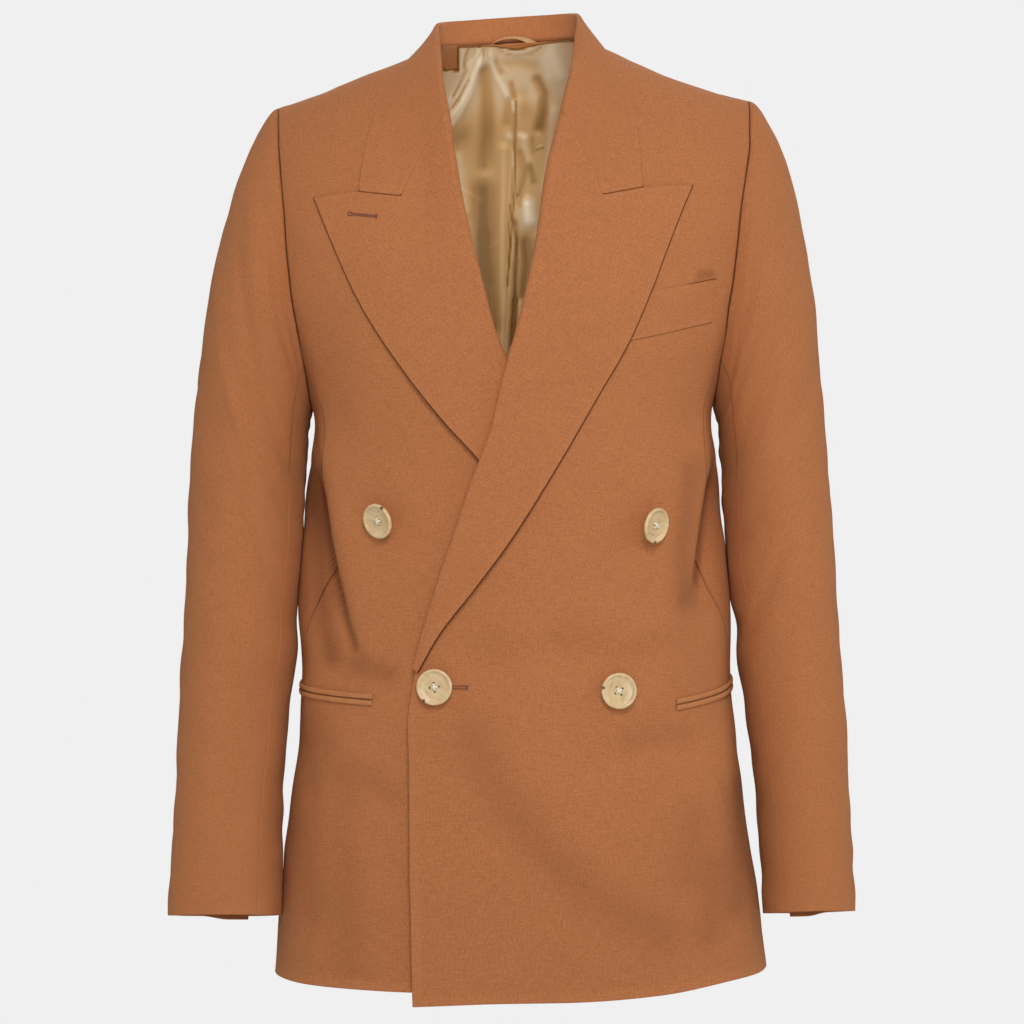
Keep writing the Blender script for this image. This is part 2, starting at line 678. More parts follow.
def makeWool(name, look):
    finish, tree, shader = newFinish(
        name, Sheen_Weight=look["sheen"], Sheen_Roughness=0.45, Specular_IOR_Level=0.22,
        Sheen_Tint=(*look["sheenTint"], 1.0),
    )
    weave = placeGroup(tree, weaveGroup, Grain=grainOf(tree), Yarns=look["yarns"], Slub=look["slub"], Relief=0.25)
    dye = placeGroup(tree, dyeGroup, Place=placeOf(tree), Patch=9.0)
    base = blendColours(tree, weave["Tone"], look["shade"], look["light"])
    uneven = blendColours(tree, dye["Tone"], look["dull"], look["clear"])
    dyed = blendColours(tree, 1.0, base, uneven, "MULTIPLY")
    pressed, sunk = pressOf(tree)
    amount = sums(tree, "MULTIPLY", pressed, look["press"])
    worn = blendColours(tree, amount, dyed, look["worn"])
    wire(tree, shader["Base Color"], blendColours(tree, sunk, worn, look["sunk"]))
    rough = sums(tree, "MULTIPLY_ADD", weave["Tone"], -0.1, 0.9)
    wire(tree, shader["Roughness"], sums(tree, "MULTIPLY_ADD", amount, -0.25, rough))
    addBump(tree, shader, weave["Height"], look["bump"], 0.0004)
    return finish


woolLook = {
    "shade": (0.31, 0.102, 0.034),
    "light": (0.56, 0.212, 0.078),
    "dull": (0.93, 0.93, 0.93),
    "clear": (1.05, 1.05, 1.05),
    "worn": (0.56, 0.215, 0.09),
    "sunk": (0.085, 0.018, 0.006),
    "sheenTint": (0.95, 0.48, 0.22),
    "sheen": 0.2,
    "yarns": 1900.0,
    "slub": 1.0,
    "press": 0.1,
    "bump": 0.45,
}
wool = makeWool("caramel wool", woolLook)
jetWool = makeWool("pocket jet wool", {**woolLook, "shade": (0.35, 0.125, 0.04), "light": (0.6, 0.25, 0.095)})


def makeSatin():
    look = {
        "deep": (0.185, 0.08, 0.018), "shade": (0.485, 0.268, 0.102), "light": (0.575, 0.352, 0.155),
        "bright": (0.83, 0.7, 0.5), "facing": (0.43, 0.155, 0.055), "shine": (1.0, 0.78, 0.48, 1.0),
    }
    finish, tree, shader = newFinish(
        "gold satin", Specular_IOR_Level=0.45, Specular_Tint=look["shine"], Sheen_Weight=0.1, Sheen_Roughness=0.3,
        Anisotropic=0.35,
    )
    streak = cloudy(tree, grainOf(tree), (2600.0, 60.0, 1.0), 3.0, 0.6)
    ribs = cloudy(tree, grainOf(tree), (90.0, 3400.0, 1.0), 2.0, 0.5)
    dye = placeGroup(tree, dyeGroup, Place=placeOf(tree), Patch=14.0)
    tone = sums(tree, "MULTIPLY_ADD", streak, 0.55, sums(tree, "MULTIPLY", dye["Tone"], 0.45))
    plain = blendColours(tree, tone, look["shade"], look["light"])
    ridge, valley = pressOf(tree)
    lit = blendColours(tree, ridge, plain, look["bright"])
    folded = blendColours(tree, sums(tree, "MINIMUM", valley, 1.0), lit, look["deep"])
    woollen = sums(tree, "MULTIPLY_ADD", valley, 5.0, -10.0, clamp=True)
    wire(tree, shader["Base Color"], blendColours(tree, woollen, folded, look["facing"]))
    wire(tree, shader["Roughness"], sums(tree, "MULTIPLY_ADD", streak, 0.14, 0.27))
    addBump(tree, shader, sums(tree, "ADD", streak, ribs), 0.1, 0.0002)
    return finish


satin = makeSatin()


def makeHorn():
    look = {
        "pale": (0.74, 0.57, 0.34), "warm": (0.54, 0.355, 0.155), "speck": (0.12, 0.055, 0.022),
        "speckPlace": (0.013, 0.0, 0.0), "speckSize": 0.0012,
    }
    finish, tree, shader = newFinish(
        "polished horn", Coat_Weight=0.35, Coat_Roughness=0.08, Specular_IOR_Level=0.5, Subsurface_Weight=0.1,
        Subsurface_Scale=0.002,
    )
    grain = grainOf(tree)
    swirl = cloudy(tree, grain, (210.0, 90.0, 1.0), 4.0, 0.6)
    fine = cloudy(tree, grain, (900.0, 260.0, 1.0), 3.0, 0.6)
    tone = sums(tree, "MULTIPLY_ADD", swirl, 2.2, sums(tree, "MULTIPLY_ADD", fine, 0.5, -0.9), clamp=True)
    streaked = blendColours(tree, tone, look["pale"], look["warm"])
    away = tree.nodes.new("ShaderNodeVectorMath")
    away.operation = "DISTANCE"
    wire(tree, away.inputs[0], grain)
    wire(tree, away.inputs[1], look["speckPlace"])
    near = tree.nodes.new("ShaderNodeMapRange")
    near.interpolation_type = "SMOOTHSTEP"
    wire(tree, near.inputs["Value"], away.outputs["Value"])
    near.inputs["From Min"].default_value = look["speckSize"] * 1.6
    near.inputs["From Max"].default_value = look["speckSize"] * 0.6
    wire(tree, shader["Base Color"], blendColours(tree, near.outputs[0], streaked, look["speck"]))
    wire(tree, shader["Roughness"], sums(tree, "MULTIPLY_ADD", fine, 0.16, 0.14))
    addBump(tree, shader, sums(tree, "ADD", swirl, fine), 0.06, 0.0004)
    return finish


horn = makeHorn()


def makeThread(name, dark, light):
    finish, tree, shader = newFinish(name, Sheen_Weight=0.3, Specular_IOR_Level=0.35)
    twist = placeGroup(tree, twistGroup, Grain=placeOf(tree), Plies=9000.0)
    wire(tree, shader["Base Color"], blendColours(tree, twist["Tone"], dark, light))
    wire(tree, shader["Roughness"], sums(tree, "MULTIPLY_ADD", twist["Tone"], -0.2, 0.7))
    addBump(tree, shader, twist["Height"], 0.5, 0.0002)
    return finish


creamThread = makeThread("cream button thread", (0.68, 0.58, 0.43), (0.95, 0.9, 0.8))
maroonThread = makeThread("maroon buttonhole thread", (0.095, 0.02, 0.008), (0.21, 0.055, 0.024))
print("finishes made")


# armholes, side seams and hem

seams = {
    "loop": 24, "frontSample": 9, "backSample": 15,    # points round an armhole, where the side panel joins
    # height, turn in degrees from the middle of the front
    "front": [
        (-0.76, 82.0), (-0.5, 81.5), (-0.453, 74.5), (-0.41, 69.0), (-0.36, 66.0), (-0.315, 66.5),
        (-0.28, 69.0),
    ],
    "back": [(-0.76, 117.0), (-0.5, 117.0), (-0.4, 117.0), (-0.3, 115.0)],
    "lowRows": 13, "breakHeight": -0.262,
    # turn in degrees, height of the hem
    "hem": {
        1: [(-30, -0.7423), (-10, -0.7395), (18, -0.7385), (38, -0.735), (53, -0.7302), (78, -0.7265),
            (117, -0.7265), (180, -0.731)],
        -1: [(-30, -0.731), (24, -0.731), (47, -0.729), (80, -0.726), (117, -0.7265), (180, -0.731)],
    },
}
hemAt = {side: smoothCurve(rows, 1) for side, rows in seams["hem"].items()}


def armholeLoop(count):
    angles = np.linspace(0, 2 * math.pi, count + 1)
    middle = (body["tip"][1] + body["armpit"]) / 2
    heights = middle + (body["tip"][1] - body["armpit"]) / 2 * np.cos(angles)
    turns = np.arcsin(np.clip(armholeAt(heights) / halfWidthAt(heights), -1, 1))
    return np.where(angles > math.pi, math.pi - turns, turns), heights


loopTurns, loopHeights = armholeLoop(seams["loop"])
lowShares = np.linspace(0, 1, seams["lowRows"] + 1)


def sideSeam(side, face):      # turns and heights beside the side panel, from the hem to the armhole
    seam, sample = seams[face], seams[face + "Sample"]
    top = loopHeights[sample]
    hem = float(hemAt[side](seam[0][1]))
    heights = hem + lowShares * (top - hem)
    return np.radians(smoothCurve(seam + [(top, math.degrees(loopTurns[sample]))], 1)(heights)), heights


def topCorrected(left, right, top, weights):
    share = np.linspace(0, 1, len(top))
    rows = left[:, None] + (right - left)[:, None] * share[None, :]
    return rows + weights[:, None] * (top - rows[-1])[None, :]


def ridgeRow(count):
    width = np.linspace(body["neck"][0], body["tip"][0], count + 1)
    height = ridgeAt(width)
    return frontTurn(width, height), height


def ridgePlaces(count):      # rows crowd where the chest turns over the shoulder
    depths = np.array([0.0005, 0.0011, 0.0018, 0.0028, 0.0042, 0.0062, 0.009, 0.0125])
    drops = (depths / 0.108) ** 2 * 0.15 / 2 / 0.264
    base = places(count, 0.76, high=False)
    base = base[base < 1 - drops[-1] * 1.2]
    return np.concatenate([base, 1 - drops[::-1], [1]])


# fronts

fronts = {
    # height, distance from the middle of the front edge, then of each side's roll line
    "lowEdge": [
        (-0.76, -0.082), (-0.62, -0.083), (-0.56, -0.0826), (-0.52, -0.0822), (-0.5, -0.0806),
        (-0.484, -0.076), (-0.453, -0.0675), (-0.4106, -0.0542), (-0.373, -0.0411),
    ],
    "roll": {
        1: [(-0.3435, -0.0314), (-0.3075, -0.0175), (-0.253, -0.0032), (-0.211, 0.0095), (-0.153, 0.023),
            (-0.098, 0.0317), (-0.056, 0.0415), (-0.025, 0.047), (0.01, 0.0521)],
        -1: [(-0.3435, -0.029), (-0.3075, -0.0145), (-0.253, 0.0032), (-0.227, 0.0139), (-0.194, 0.0227),
             (-0.152, 0.0336), (-0.108, 0.0423), (-0.055, 0.0485), (0.01, 0.0545)],
    },
    "neckEdge": [(0.049, -0.052), (0.0578, -0.02)],
    "rollHeights": [-0.228, -0.192, -0.156, -0.124, -0.094, -0.0635],
    "edgeTurn": -26.0,
    "columns": 12,
    "rows": 150, "across": 112,         # of the finished cloth
    "facingReach": 0.085,               # how far the wool facing reaches in from the front edge
    "hemAllowance": 0.035,
}
lapels = {
    # outer edge from its lower end to the peak: distance from the middle, height
    "outer": {
        1: [(-0.0735, -0.486), (-0.0563, -0.456), (-0.0324, -0.425), (-0.0035, -0.386), (0.035, -0.325),
            (0.0648, -0.273), (0.0884, -0.231), (0.1062, -0.1935), (0.1304, -0.135), (0.14, -0.1102)],
        -1: [(-0.0735, -0.486), (-0.0563, -0.452), (-0.034, -0.412), (-0.008, -0.373), (0.0257, -0.324),
             (0.054, -0.291), (0.081, -0.2555), (0.1085, -0.214), (0.141, -0.147), (0.1545, -0.116)],
    },
    # seam with the collar from the roll line out, then the collar's end
    "gorge": {
        1: [(0.0415, -0.058), (0.056, -0.083), (0.066, -0.102), (0.0708, -0.119), (0.107, -0.112)],
        -1: [(0.0485, -0.055), (0.063, -0.077), (0.0745, -0.098), (0.084, -0.118), (0.1226, -0.1126)],
    },
    "lowest": -0.484,
    "gap": 0.00012,                     # to the collar
    "edgeDark": 2.5, "seamLine": 1.2,
    "gorgeLength": 0.067,              # from the roll line to the notch
    "band": 0.012, "bandPoints": 5, "roll": 12, "rows": 150, "across": 44, "grainTurn": -24.0,
    # how far the outer edge stands off: most, where along the edge, over what share of it
    "stand": {1: (0.0026, 0.22, 0.2), -1: (0.0026, 0.52, 0.16)},
}
edgeAt = {side: smoothCurve(fronts["lowEdge"] + rows, 1) for side, rows in fronts["roll"].items()}


def frontSheet(side):
    sample = seams["frontSample"]
    lowTurns, lowHeights = sideSeam(side, "front")
    rightHeights = np.concatenate([lowHeights, loopHeights[sample - 1::-1]])
    rightTurns = np.concatenate([lowTurns, loopTurns[sample - 1::-1]])
    hemEdge = float(hemAt[side](fronts["edgeTurn"]))
    leftLow = hemEdge + lowShares * (seams["breakHeight"] - hemEdge)
    neckHeights = [height for _, height in fronts["neckEdge"]]
    leftHeights = np.concatenate([leftLow, fronts["rollHeights"], neckHeights, body["neck"][1:]])
    leftWidths = edgeAt[side](leftHeights)
    shift = 0.0 if side > 0 else lapels["gorge"][-1][0][0] - lapels["gorge"][1][0][0]
    leftWidths[-3:] = [fronts["neckEdge"][0][0] + shift, fronts["neckEdge"][1][0] + shift * 0.4, body["neck"][0]]
    topTurns, topHeights = ridgeRow(fronts["columns"])
    weights = easeStep((np.arange(len(leftHeights)) - seams["lowRows"] + 2) / (sample + 2)) ** 2
    turns = topCorrected(frontTurn(leftWidths, leftHeights), rightTurns, topTurns, weights)
    heights = topCorrected(leftHeights, rightHeights, topHeights, weights)
    hemLine = hemAt[side](np.degrees(turns[0]))
    heights[:len(lowShares)] += (hemLine - heights[0]) * lowShares[::-1, None] ** 2
    return turns, heights


def fineSheet(sheet, rowPlaces, columnPlaces, corner=0):      # the top edge may turn sharply at one column
    rows = [spread(table, rowPlaces) for table in sheet]
    if not corner:
        return [spread(table, columnPlaces, 1) for table in rows]
    split = corner / (rows[0].shape[1] - 1)
    columnPlaces[np.argmin(np.abs(columnPlaces - split))] = split
    low, high = columnPlaces[columnPlaces < split] / split, (columnPlaces[columnPlaces >= split] - split) / (1 - split)
    halves = [[spread(table[:, :corner + 1], low, 1), spread(table[:, corner:], high, 1)] for table in rows]
    return [np.concatenate(half, axis=1) for half in halves]


def closeRidge(turns, heights):      # the top row lies on the shoulder line
    width = halfWidthAt(heights[-1]) * np.sin(turns[-1])
    beyond = width > body["neck"][0]
    heights[-1, beyond] = ridgeAt(width[beyond])
    return turns, heights


def pairOf(side, turns, heights):
    return layOn(side, turns, heights, cloth["wall"]), layOn(side, turns, heights)


sideNames = {1: "left", -1: "right"}


def bodyGrain(turns, heights):
    return turns * 0.165, heights + 0 * turns


def insideLining(grid, fromEdge=0.0):     # the lining starts above the hem, and behind the facing
    return (edgeDistance(grid, "low") > fronts["hemAllowance"]) & (edgeDistance(grid, "left") > fromEdge)


for side, sideName in sideNames.items():
    sheet = fineSheet(frontSheet(side), ridgePlaces(fronts["rows"]), places(fronts["across"], 0.27))
    turns, heights = closeRidge(*sheet)
    outer, inner = pairOf(side, turns, heights)
    rims = {"left": cloth["fold"], "low": cloth["fold"], "right": cloth["seam"], "high": cloth["seam"]}
    addShell("cloth_front_" + sideName, outer, inner, side, rims, [wool, satin], ["front_" + sideName],
             bodyGrain(turns, heights), insideLining(outer, fronts["facingReach"]),
             tone=shadeAt(side, turns, outer[..., 0], heights))
print("fronts made")


# side panels and back

backs = {
    "neckColumns": 4, "shoulderColumns": 11, "stand": 0.0016,
    "rows": 150, "across": 110, "sideRows": 120, "sideAcross": 44,
}


def sideSheet(side):
    frontTurns, frontHeights = sideSeam(side, "front")
    backTurns, backHeights = sideSeam(side, "back")
    top = slice(seams["frontSample"], seams["backSample"] + 1)
    turns = topCorrected(frontTurns, backTurns, loopTurns[top], lowShares**5)
    heights = topCorrected(frontHeights, backHeights, loopHeights[top], lowShares**5)
    heights[0] = hemAt[side](np.degrees(turns[0]))
    return turns, heights


collarStations = [
    # share of the way, seam x, seam z, fold x, fold y, fold z, edge x, edge z, 1 where the seam is behind
    # the shoulder ridge, 1 where the edge is behind it
    (0.0, 0.0442, -0.056, 0.0415, 0.0, -0.057, 0.107, -0.112, 0, 0),
    (0.14, 0.0508, -0.037, 0.0452, 0.0, -0.035, 0.1035, -0.08, 0, 0),
    (0.28, 0.0568, -0.016, 0.049, 0.0, -0.012, 0.0985, -0.05, 0, 0),
    (0.4, 0.0618, 0.0005, 0.0525, -0.026, 0.011, 0.0895, -0.024, 0, 0),
    (0.5, 0.0648, 0.0096, 0.0548, -0.006, 0.026, 0.08, 0.001, 0, 0),
    (0.6, 0.06, 0.0122, 0.0558, 0.014, 0.0335, 0.0745, 0.001, 1, 1),
    (0.72, 0.0465, 0.0155, 0.0505, 0.04, 0.0385, 0.06, -0.0015, 1, 1),
    (0.86, 0.0245, 0.018, 0.031, 0.061, 0.0415, 0.0345, -0.0042, 1, 1),
    (1.0, 0.0, 0.019, 0.0, 0.068, 0.0425, 0.0, -0.0055, 1, 1),
    (1.14, -0.0245, 0.018, -0.031, 0.061, 0.0415, -0.0345, -0.0042, 1, 1),
]


def backSheet(side):
    sample = seams["backSample"]
    lowTurns, lowHeights = sideSeam(side, "back")
    rightHeights = np.concatenate([lowHeights, loopHeights[sample + 1:]])
    rightTurns = np.concatenate([lowTurns, loopTurns[sample + 1:]])
    hemBack = float(hemAt[side](180.0))
    leftLow = hemBack + lowShares * (seams["breakHeight"] - hemBack)
    highShares = np.sin(np.linspace(0, math.pi / 2, len(rightHeights) - seams["lowRows"]))[1:]
    leftHigh = seams["breakHeight"] + highShares * (body["neckMiddle"] - seams["breakHeight"])
    leftHeights = np.concatenate([leftLow, leftHigh])
    leftTurns = np.full(len(leftHeights), math.pi)
    neckWidths = np.linspace(0, body["neck"][0], backs["neckColumns"] + 1)
    neckRows = [(row[1], row[2] - backs["stand"]) for row in collarStations[::-1] if row[0] >= 0.5]
    neckHeights = smoothCurve(neckRows, 1)(neckWidths)
    neckHeights[-1] = body["neck"][1]
    ridgeTurns, ridgeHeights = ridgeRow(backs["shoulderColumns"])
    topTurns = np.concatenate([math.pi - frontTurn(neckWidths, neckHeights)[:-1], math.pi - ridgeTurns])
    topHeights = np.concatenate([neckHeights[:-1], ridgeHeights])
    fromBreak = np.arange(len(leftHeights)) - seams["lowRows"]
    weights = easeStep((fromBreak + 4) / (fromBreak[-1] + 4))
    turns = topCorrected(leftTurns, rightTurns, topTurns, weights**2)
    heights = topCorrected(leftHeights, rightHeights, topHeights, weights**2)
    heights[0] = hemAt[side](np.degrees(turns[0]))
    return turns, heights


for side, sideName in sideNames.items():
    rims = {"left": cloth["seam"], "low": cloth["fold"], "right": cloth["seam"], "high": cloth["seam"]}
    turns, heights = fineSheet(sideSheet(side), places(backs["sideRows"], 0.46), places(backs["sideAcross"], 0.11))
    outer, inner = pairOf(side, turns, heights)
    addShell("cloth_side_" + sideName, outer, inner, side, rims, [wool, satin], ["side_" + sideName],
             bodyGrain(turns, heights), insideLining(outer),
             tone=shadeAt(side, turns, outer[..., 0], heights))
    columns = places(backs["across"], 0.22)
    sheet = fineSheet(backSheet(side), ridgePlaces(backs["rows"]), columns, backs["neckColumns"])
    turns, heights = closeRidge(*sheet)
    outer, inner = pairOf(side, turns, heights)
    addShell("cloth_back_" + sideName, outer, inner, side, rims, [wool], ["back_" + sideName],
             bodyGrain(turns, heights))
print("side panels and back made")


# sleeves

sleeves = {
    # share of the way, top x, top z, underside x, underside z, half depth, middle y, share of the armhole's
    # own shape that is left
    "stations": [
        (0.0, 0.1873, -0.0362, 0.1599, -0.28, 0.064, 0.0, 1.0),
        (0.01, 0.1905, -0.0374, 0.1612, -0.2835, 0.065, 0.0, 0.96),
        (0.05, 0.202, -0.0525, 0.1628, -0.289, 0.068, 0.0005, 0.75),
        (0.1, 0.2145, -0.079, 0.1638, -0.295, 0.07, 0.001, 0.5),
        (0.17, 0.23, -0.129, 0.1648, -0.306, 0.07, 0.002, 0.22),
        (0.26, 0.243, -0.198, 0.166, -0.328, 0.0675, 0.003, 0.06),
        (0.36, 0.25, -0.268, 0.1676, -0.36, 0.064, 0.003, 0.0),
        (0.48, 0.256, -0.348, 0.1696, -0.405, 0.06, 0.002, 0.0),
        (0.6, 0.2612, -0.432, 0.174, -0.468, 0.0565, -0.002, 0.0),
        (0.72, 0.2662, -0.514, 0.1842, -0.54, 0.053, -0.009, 0.0),
        (0.86, 0.2705, -0.602, 0.1905, -0.615, 0.049, -0.019, 0.0),
        (1.0, 0.2745, -0.68, 0.193, -0.681, 0.045, -0.03, 0.0),
    ],
    # share of the way, shift of the left sleeve's outer and inner side, shift of the right sleeve's
    "shifts": [
        (0.0, 0.0, 0.0, 0.0, 0.0), (0.2, 0.0, 0.0, 0.0, 0.0), (0.36, -0.0026, 0.0, 0.003, 0.0),
        (0.65, -0.0045, 0.0, 0.0028, 0.0), (1.0, -0.0085, 0.0006, 0.0036, -0.0055),
    ],
    "cuffDrop": {1: -0.002, -1: 0.0015},
    "cuffTilt": 0.0055,
    # share of the way, turn of the front seam, turn of the back seam, in degrees from the top
    "seams": [(0.0, 135.0, 240.0), (0.35, 140.0, 236.0), (0.65, 136.0, 236.0), (1.0, 127.0, 250.0)],
    # side, share along the sleeve, turn round it, slant, half widths along and round, how far it stands out
    "folds": [
        (1, 0.58, 200.0, 0.0, 0.03, 60.0, -0.004), (1, 0.66, 110.0, 0.0, 0.04, 50.0, -0.0025),
        (-1, 0.56, 205.0, 0.0, 0.03, 60.0, -0.004), (-1, 0.67, 105.0, 0.0, 0.04, 50.0, -0.0025),
        (0, 0.24, 100.0, 0.0, 0.05, 35.0, -0.003), (0, 0.3, 265.0, 0.0, 0.05, 35.0, -0.004),
        (-1, 0.2, 80.0, 0.0016, 0.022, 34.0, -0.0022), (-1, 0.34, 84.0, 0.002, 0.03, 40.0, 0.002),
        (-1, 0.46, 96.0, 0.0018, 0.024, 34.0, -0.0016), (-1, 0.6, 60.0, -0.0012, 0.02, 36.0, -0.0014),
        (1, 0.16, 40.0, -0.001, 0.026, 30.0, -0.0016), (1, 0.36, 70.0, 0.0012, 0.026, 36.0, -0.0014),
        (1, 0.52, 95.0, 0.0016, 0.018, 40.0, -0.0018), (1, 0.62, 70.0, -0.001, 0.016, 34.0, -0.0014),
        (0, 0.47, 230.0, -0.001, 0.016, 40.0, -0.002), (0, 0.53, 250.0, 0.0012, 0.014, 40.0, 0.0016),
        (0, 0.62, 262.0, 0.0014, 0.018, 44.0, -0.0018), (0, 0.78, 300.0, 0.001, 0.03, 50.0, -0.0014),
    ],
    "vent": 0.0028,                     # the top piece's hem hangs this much below the under piece's
    "innerWear": {1: 1.6, -1: 4.0},     # paler cloth on the inner side of the forearm
    "rows": 140, "topAcross": 104, "underAcross": 52,
    "cuffAllowance": 0.03,
}
denseTurns, denseHeights = armholeLoop(240)


def oval(topX, topZ, underX, underZ, depth, middleY, turns):
    span = np.cos(turns) / 2
    swell = np.sign(np.sin(turns)) * np.abs(np.sin(turns)) ** 0.92
    x = (topX + underX) / 2 + (topX - underX) * span
    z = (topZ + underZ) / 2 + (topZ - underZ) * span
    return np.stack([x, middleY - depth * swell, z], axis=-1)


def sleeveRing(side, share, turns, columns, loop, isTop):
    *station, keep = [float(column(share)) for column in columns]
    station[0] += float(smoothCurve(sleeves["shifts"], 1 if side > 0 else 3)(share))
    station[2] += float(smoothCurve(sleeves["shifts"], 2 if side > 0 else 4)(share))
    nearCuff = float(easeStep((share - 0.7) / 0.3))
    ring = oval(*station, turns)
    ring[:, 2] += nearCuff * (sleeves["cuffDrop"][side] + sleeves["cuffTilt"] * np.sin(turns))
    start = [float(column(0.0)) for column in columns[:-1]]
    wrapped = np.mod(turns, 2 * math.pi)
    if isTop:
        beyond = easeStep((wrapped - math.radians(245)) / 0.1) * easeStep((math.radians(300) - wrapped) / 0.5)
        ring[:, 2] -= sleeves["vent"] * beyond * easeStep((share - 0.93) / 0.06)
    angles = np.linspace(0, 2 * math.pi, len(loop))
    own = np.stack([np.interp(wrapped, angles, loop[:, axis]) for axis in range(3)], axis=-1)
    ring = ring + keep * (own - oval(*start, turns))
    settle = float(easeStep(share / 0.08))
    out = unevenOut(side, wrapped * 0.055, share * 0.66) * 1.2 * settle
    for owner, along, turn, slant, reach, width, size in sleeves["folds"]:
        if owner in (0, side):
            away = np.degrees(wrapped) - turn
            out = out + size * bell(share - along - slant * away, reach) * bell(away, width) * settle
    ring[:, 0] += out * np.cos(turns)
    ring[:, 1] -= out * np.sin(turns)
    if share > 0:
        beside = easeStep((0.3 - np.cos(turns)) / 0.8)
        bodyTurns = np.arctan2(ring[:, 0], -ring[:, 1])
        drape = np.clip(drapeOut(side, bodyTurns, ring[:, 2]), 0, None)
        ring = keepClear(ring, (cloth["wall"] + 0.001 + drape) * beside - 0.003 * (1 - beside))
    return ring


def sleevePair(side, isTop):
    columns = [smoothCurve(sleeves["stations"], index) for index in range(1, 8)]
    seamFront, seamBack = smoothCurve(sleeves["seams"], 1), smoothCurve(sleeves["seams"], 2)
    loop = layOn(side, denseTurns, denseHeights) + outward(bodyPoint(denseTurns, denseHeights)) * cloth["wall"]
    loop[:, 0] += 0.0003
    shares = places(sleeves["rows"], 0.66)
    steps = places(sleeves["topAcross"], 0.24) if isTop else places(sleeves["underAcross"], 0.1)
    steps = np.concatenate([[-0.004], steps, [1.004]])
    rows = []
    for share in shares:
        front, back = math.radians(seamFront(share)), math.radians(seamBack(share))
        start, end = (back - 2 * math.pi, front) if isTop else (front, back)
        rows.append(sleeveRing(side, share, start + steps * (end - start), columns, loop, isTop))
    grid = np.array(rows)
    turns, shares = np.meshgrid(start + steps[1:-1] * (end - start), shares)
    tone = sleeves["innerWear"][side] * bell(np.mod(np.degrees(turns), 360) - 132, 26)
    grain, tone = (0.058 * turns, 0.66 * shares), tone * easeStep((shares - 0.3) / 0.12)
    return grid[:, 1:-1], (grid - gridNormals(grid) * cloth["wall"])[:, 1:-1], grain, tone


for side, sideName in sideNames.items():
    for isTop, pieceName in ((True, "top"), (False, "under")):
        outer, inner, grain, tone = sleevePair(side, isTop)
        rims = {"left": cloth["seam"], "right": cloth["seam"], "low": cloth["seam"], "high": cloth["fold"]}
        node = "sleeve_" + sideName + "_" + pieceName
        addShell("cloth_" + node, outer, inner, side, rims, [wool, satin], [node],
                 grain,
                 edgeDistance(outer, "high") > sleeves["cuffAllowance"], tone=tone)
print("sleeves made")


# lapels

welt = {
    # distance from the middle and height of the four corners, the inner two under the lapel
    "corners": [(0.079, -0.2337), (0.154, -0.216), (0.0965, -0.196), (0.158, -0.182)],
    "middle": (0.09, -0.212),        # where the lapel rides over it
    "rows": 26, "across": 60,
}


def foldedSection(fold, inward, normal, outer, bandPoints, radius, bandLayer):
    centre = fold + normal * (bandLayer + radius)
    turns = np.linspace(0, math.pi, lapels["roll"] + 1)
    roll = [centre - normal * radius * math.cos(turn) - inward * radius * math.sin(turn) for turn in turns]
    return np.array(list(bandPoints) + roll + list(outer))


def lapelRow(side, share, line):
    bandLayer = -cloth["lay"] / 2 - 0.0003 - cloth["facing"] / 2 - 0.001 * float(easeStep((share - 0.55) / 0.15))
    restLayer = cloth["wall"] + cloth["lay"] + cloth["facing"] / 2
    radius = (restLayer - bandLayer) / 2 + 0.0016 * float(easeStep((share - 0.62) / 0.3))
    span = float(np.linalg.norm(line[-1] - line[0]))
    reach = np.linalg.norm(line - line[0], axis=1)
    belly = (bandLayer + 2 * radius - restLayer) * (1 - easeStep(reach / 0.035))
    overWelt = 0.0
    if side > 0:
        away = line - welt["middle"]
        overWelt = 1.4 * cloth["trim"] * bell(away[:, 0], 0.045) * bell(away[:, 1], 0.055)
    most, where, over = lapels["stand"][side]
    stand = most * bell(share - where, over) * easeStep(reach / max(span, 1e-6)) ** 2
    settled = restLayer - 0.0004
    outer = layFront(side, line[:, 0], line[:, 1], settled + belly + overWelt + stand)
    fold = layFront(side, line[:1, 0], line[:1, 1])[0]
    normal = outward(bodyPoint(frontTurn(line[:1, 0], line[:1, 1]), line[:1, 1]))[0]
    inward = outer[2] - outer[0]
    inward = unit(inward - normal * inward.dot(normal))
    width = min(lapels["band"], span * 0.8)
    step = (line[-1] - line[0]) / span
    bandLine = np.array([line[0] + step * width * part for part in (1.0, 0.8, 0.6, 0.4, 0.2)])
    band = layFront(side, bandLine[:, 0], bandLine[:, 1], bandLayer)
    return foldedSection(fold, inward, normal, outer[1:], band, radius, bandLayer)


def lapelGrid(side):
    outerLine, gorge = lapels["outer"][side], lapels["gorge"][side]
    shares = places(lapels["rows"], 0.46)
    top = gorge[0][1] - lapels["gap"]
    foldHeights = lapels["lowest"] + shares * (top - lapels["lowest"])
    folds = np.stack([edgeAt[side](foldHeights), foldHeights], axis=-1)
    outer = smoothLine(outerLine, shares**0.97)
    across = places(lapels["across"], 0.09, low=False)
    topLine = polyline(gorge + [outerLine[-1]], across)
    topStraight = folds[-1] + (outer[-1] - folds[-1]) * across[:, None]
    rows = []
    for share, start, end in zip(shares, folds, outer):
        line = start + (end - start) * across[:, None]
        weight = share**7
        line = line + weight * (topLine - topStraight)
        line[:, 1] -= lapels["gap"] * weight
        rows.append(lapelRow(side, share, line))
    return np.array(rows)


def wallOf(grid, wall):
    normal = gridNormals(grid)
    return grid + normal * wall / 2, grid - normal * wall / 2


def keptAlong(along, gorgeEnd):      # what is left of the wall along the gorge, and past the notch
    return cloth["gorge"] + (cloth["fold"][1] - cloth["gorge"]) * easeStep((along - gorgeEnd) / 0.004)


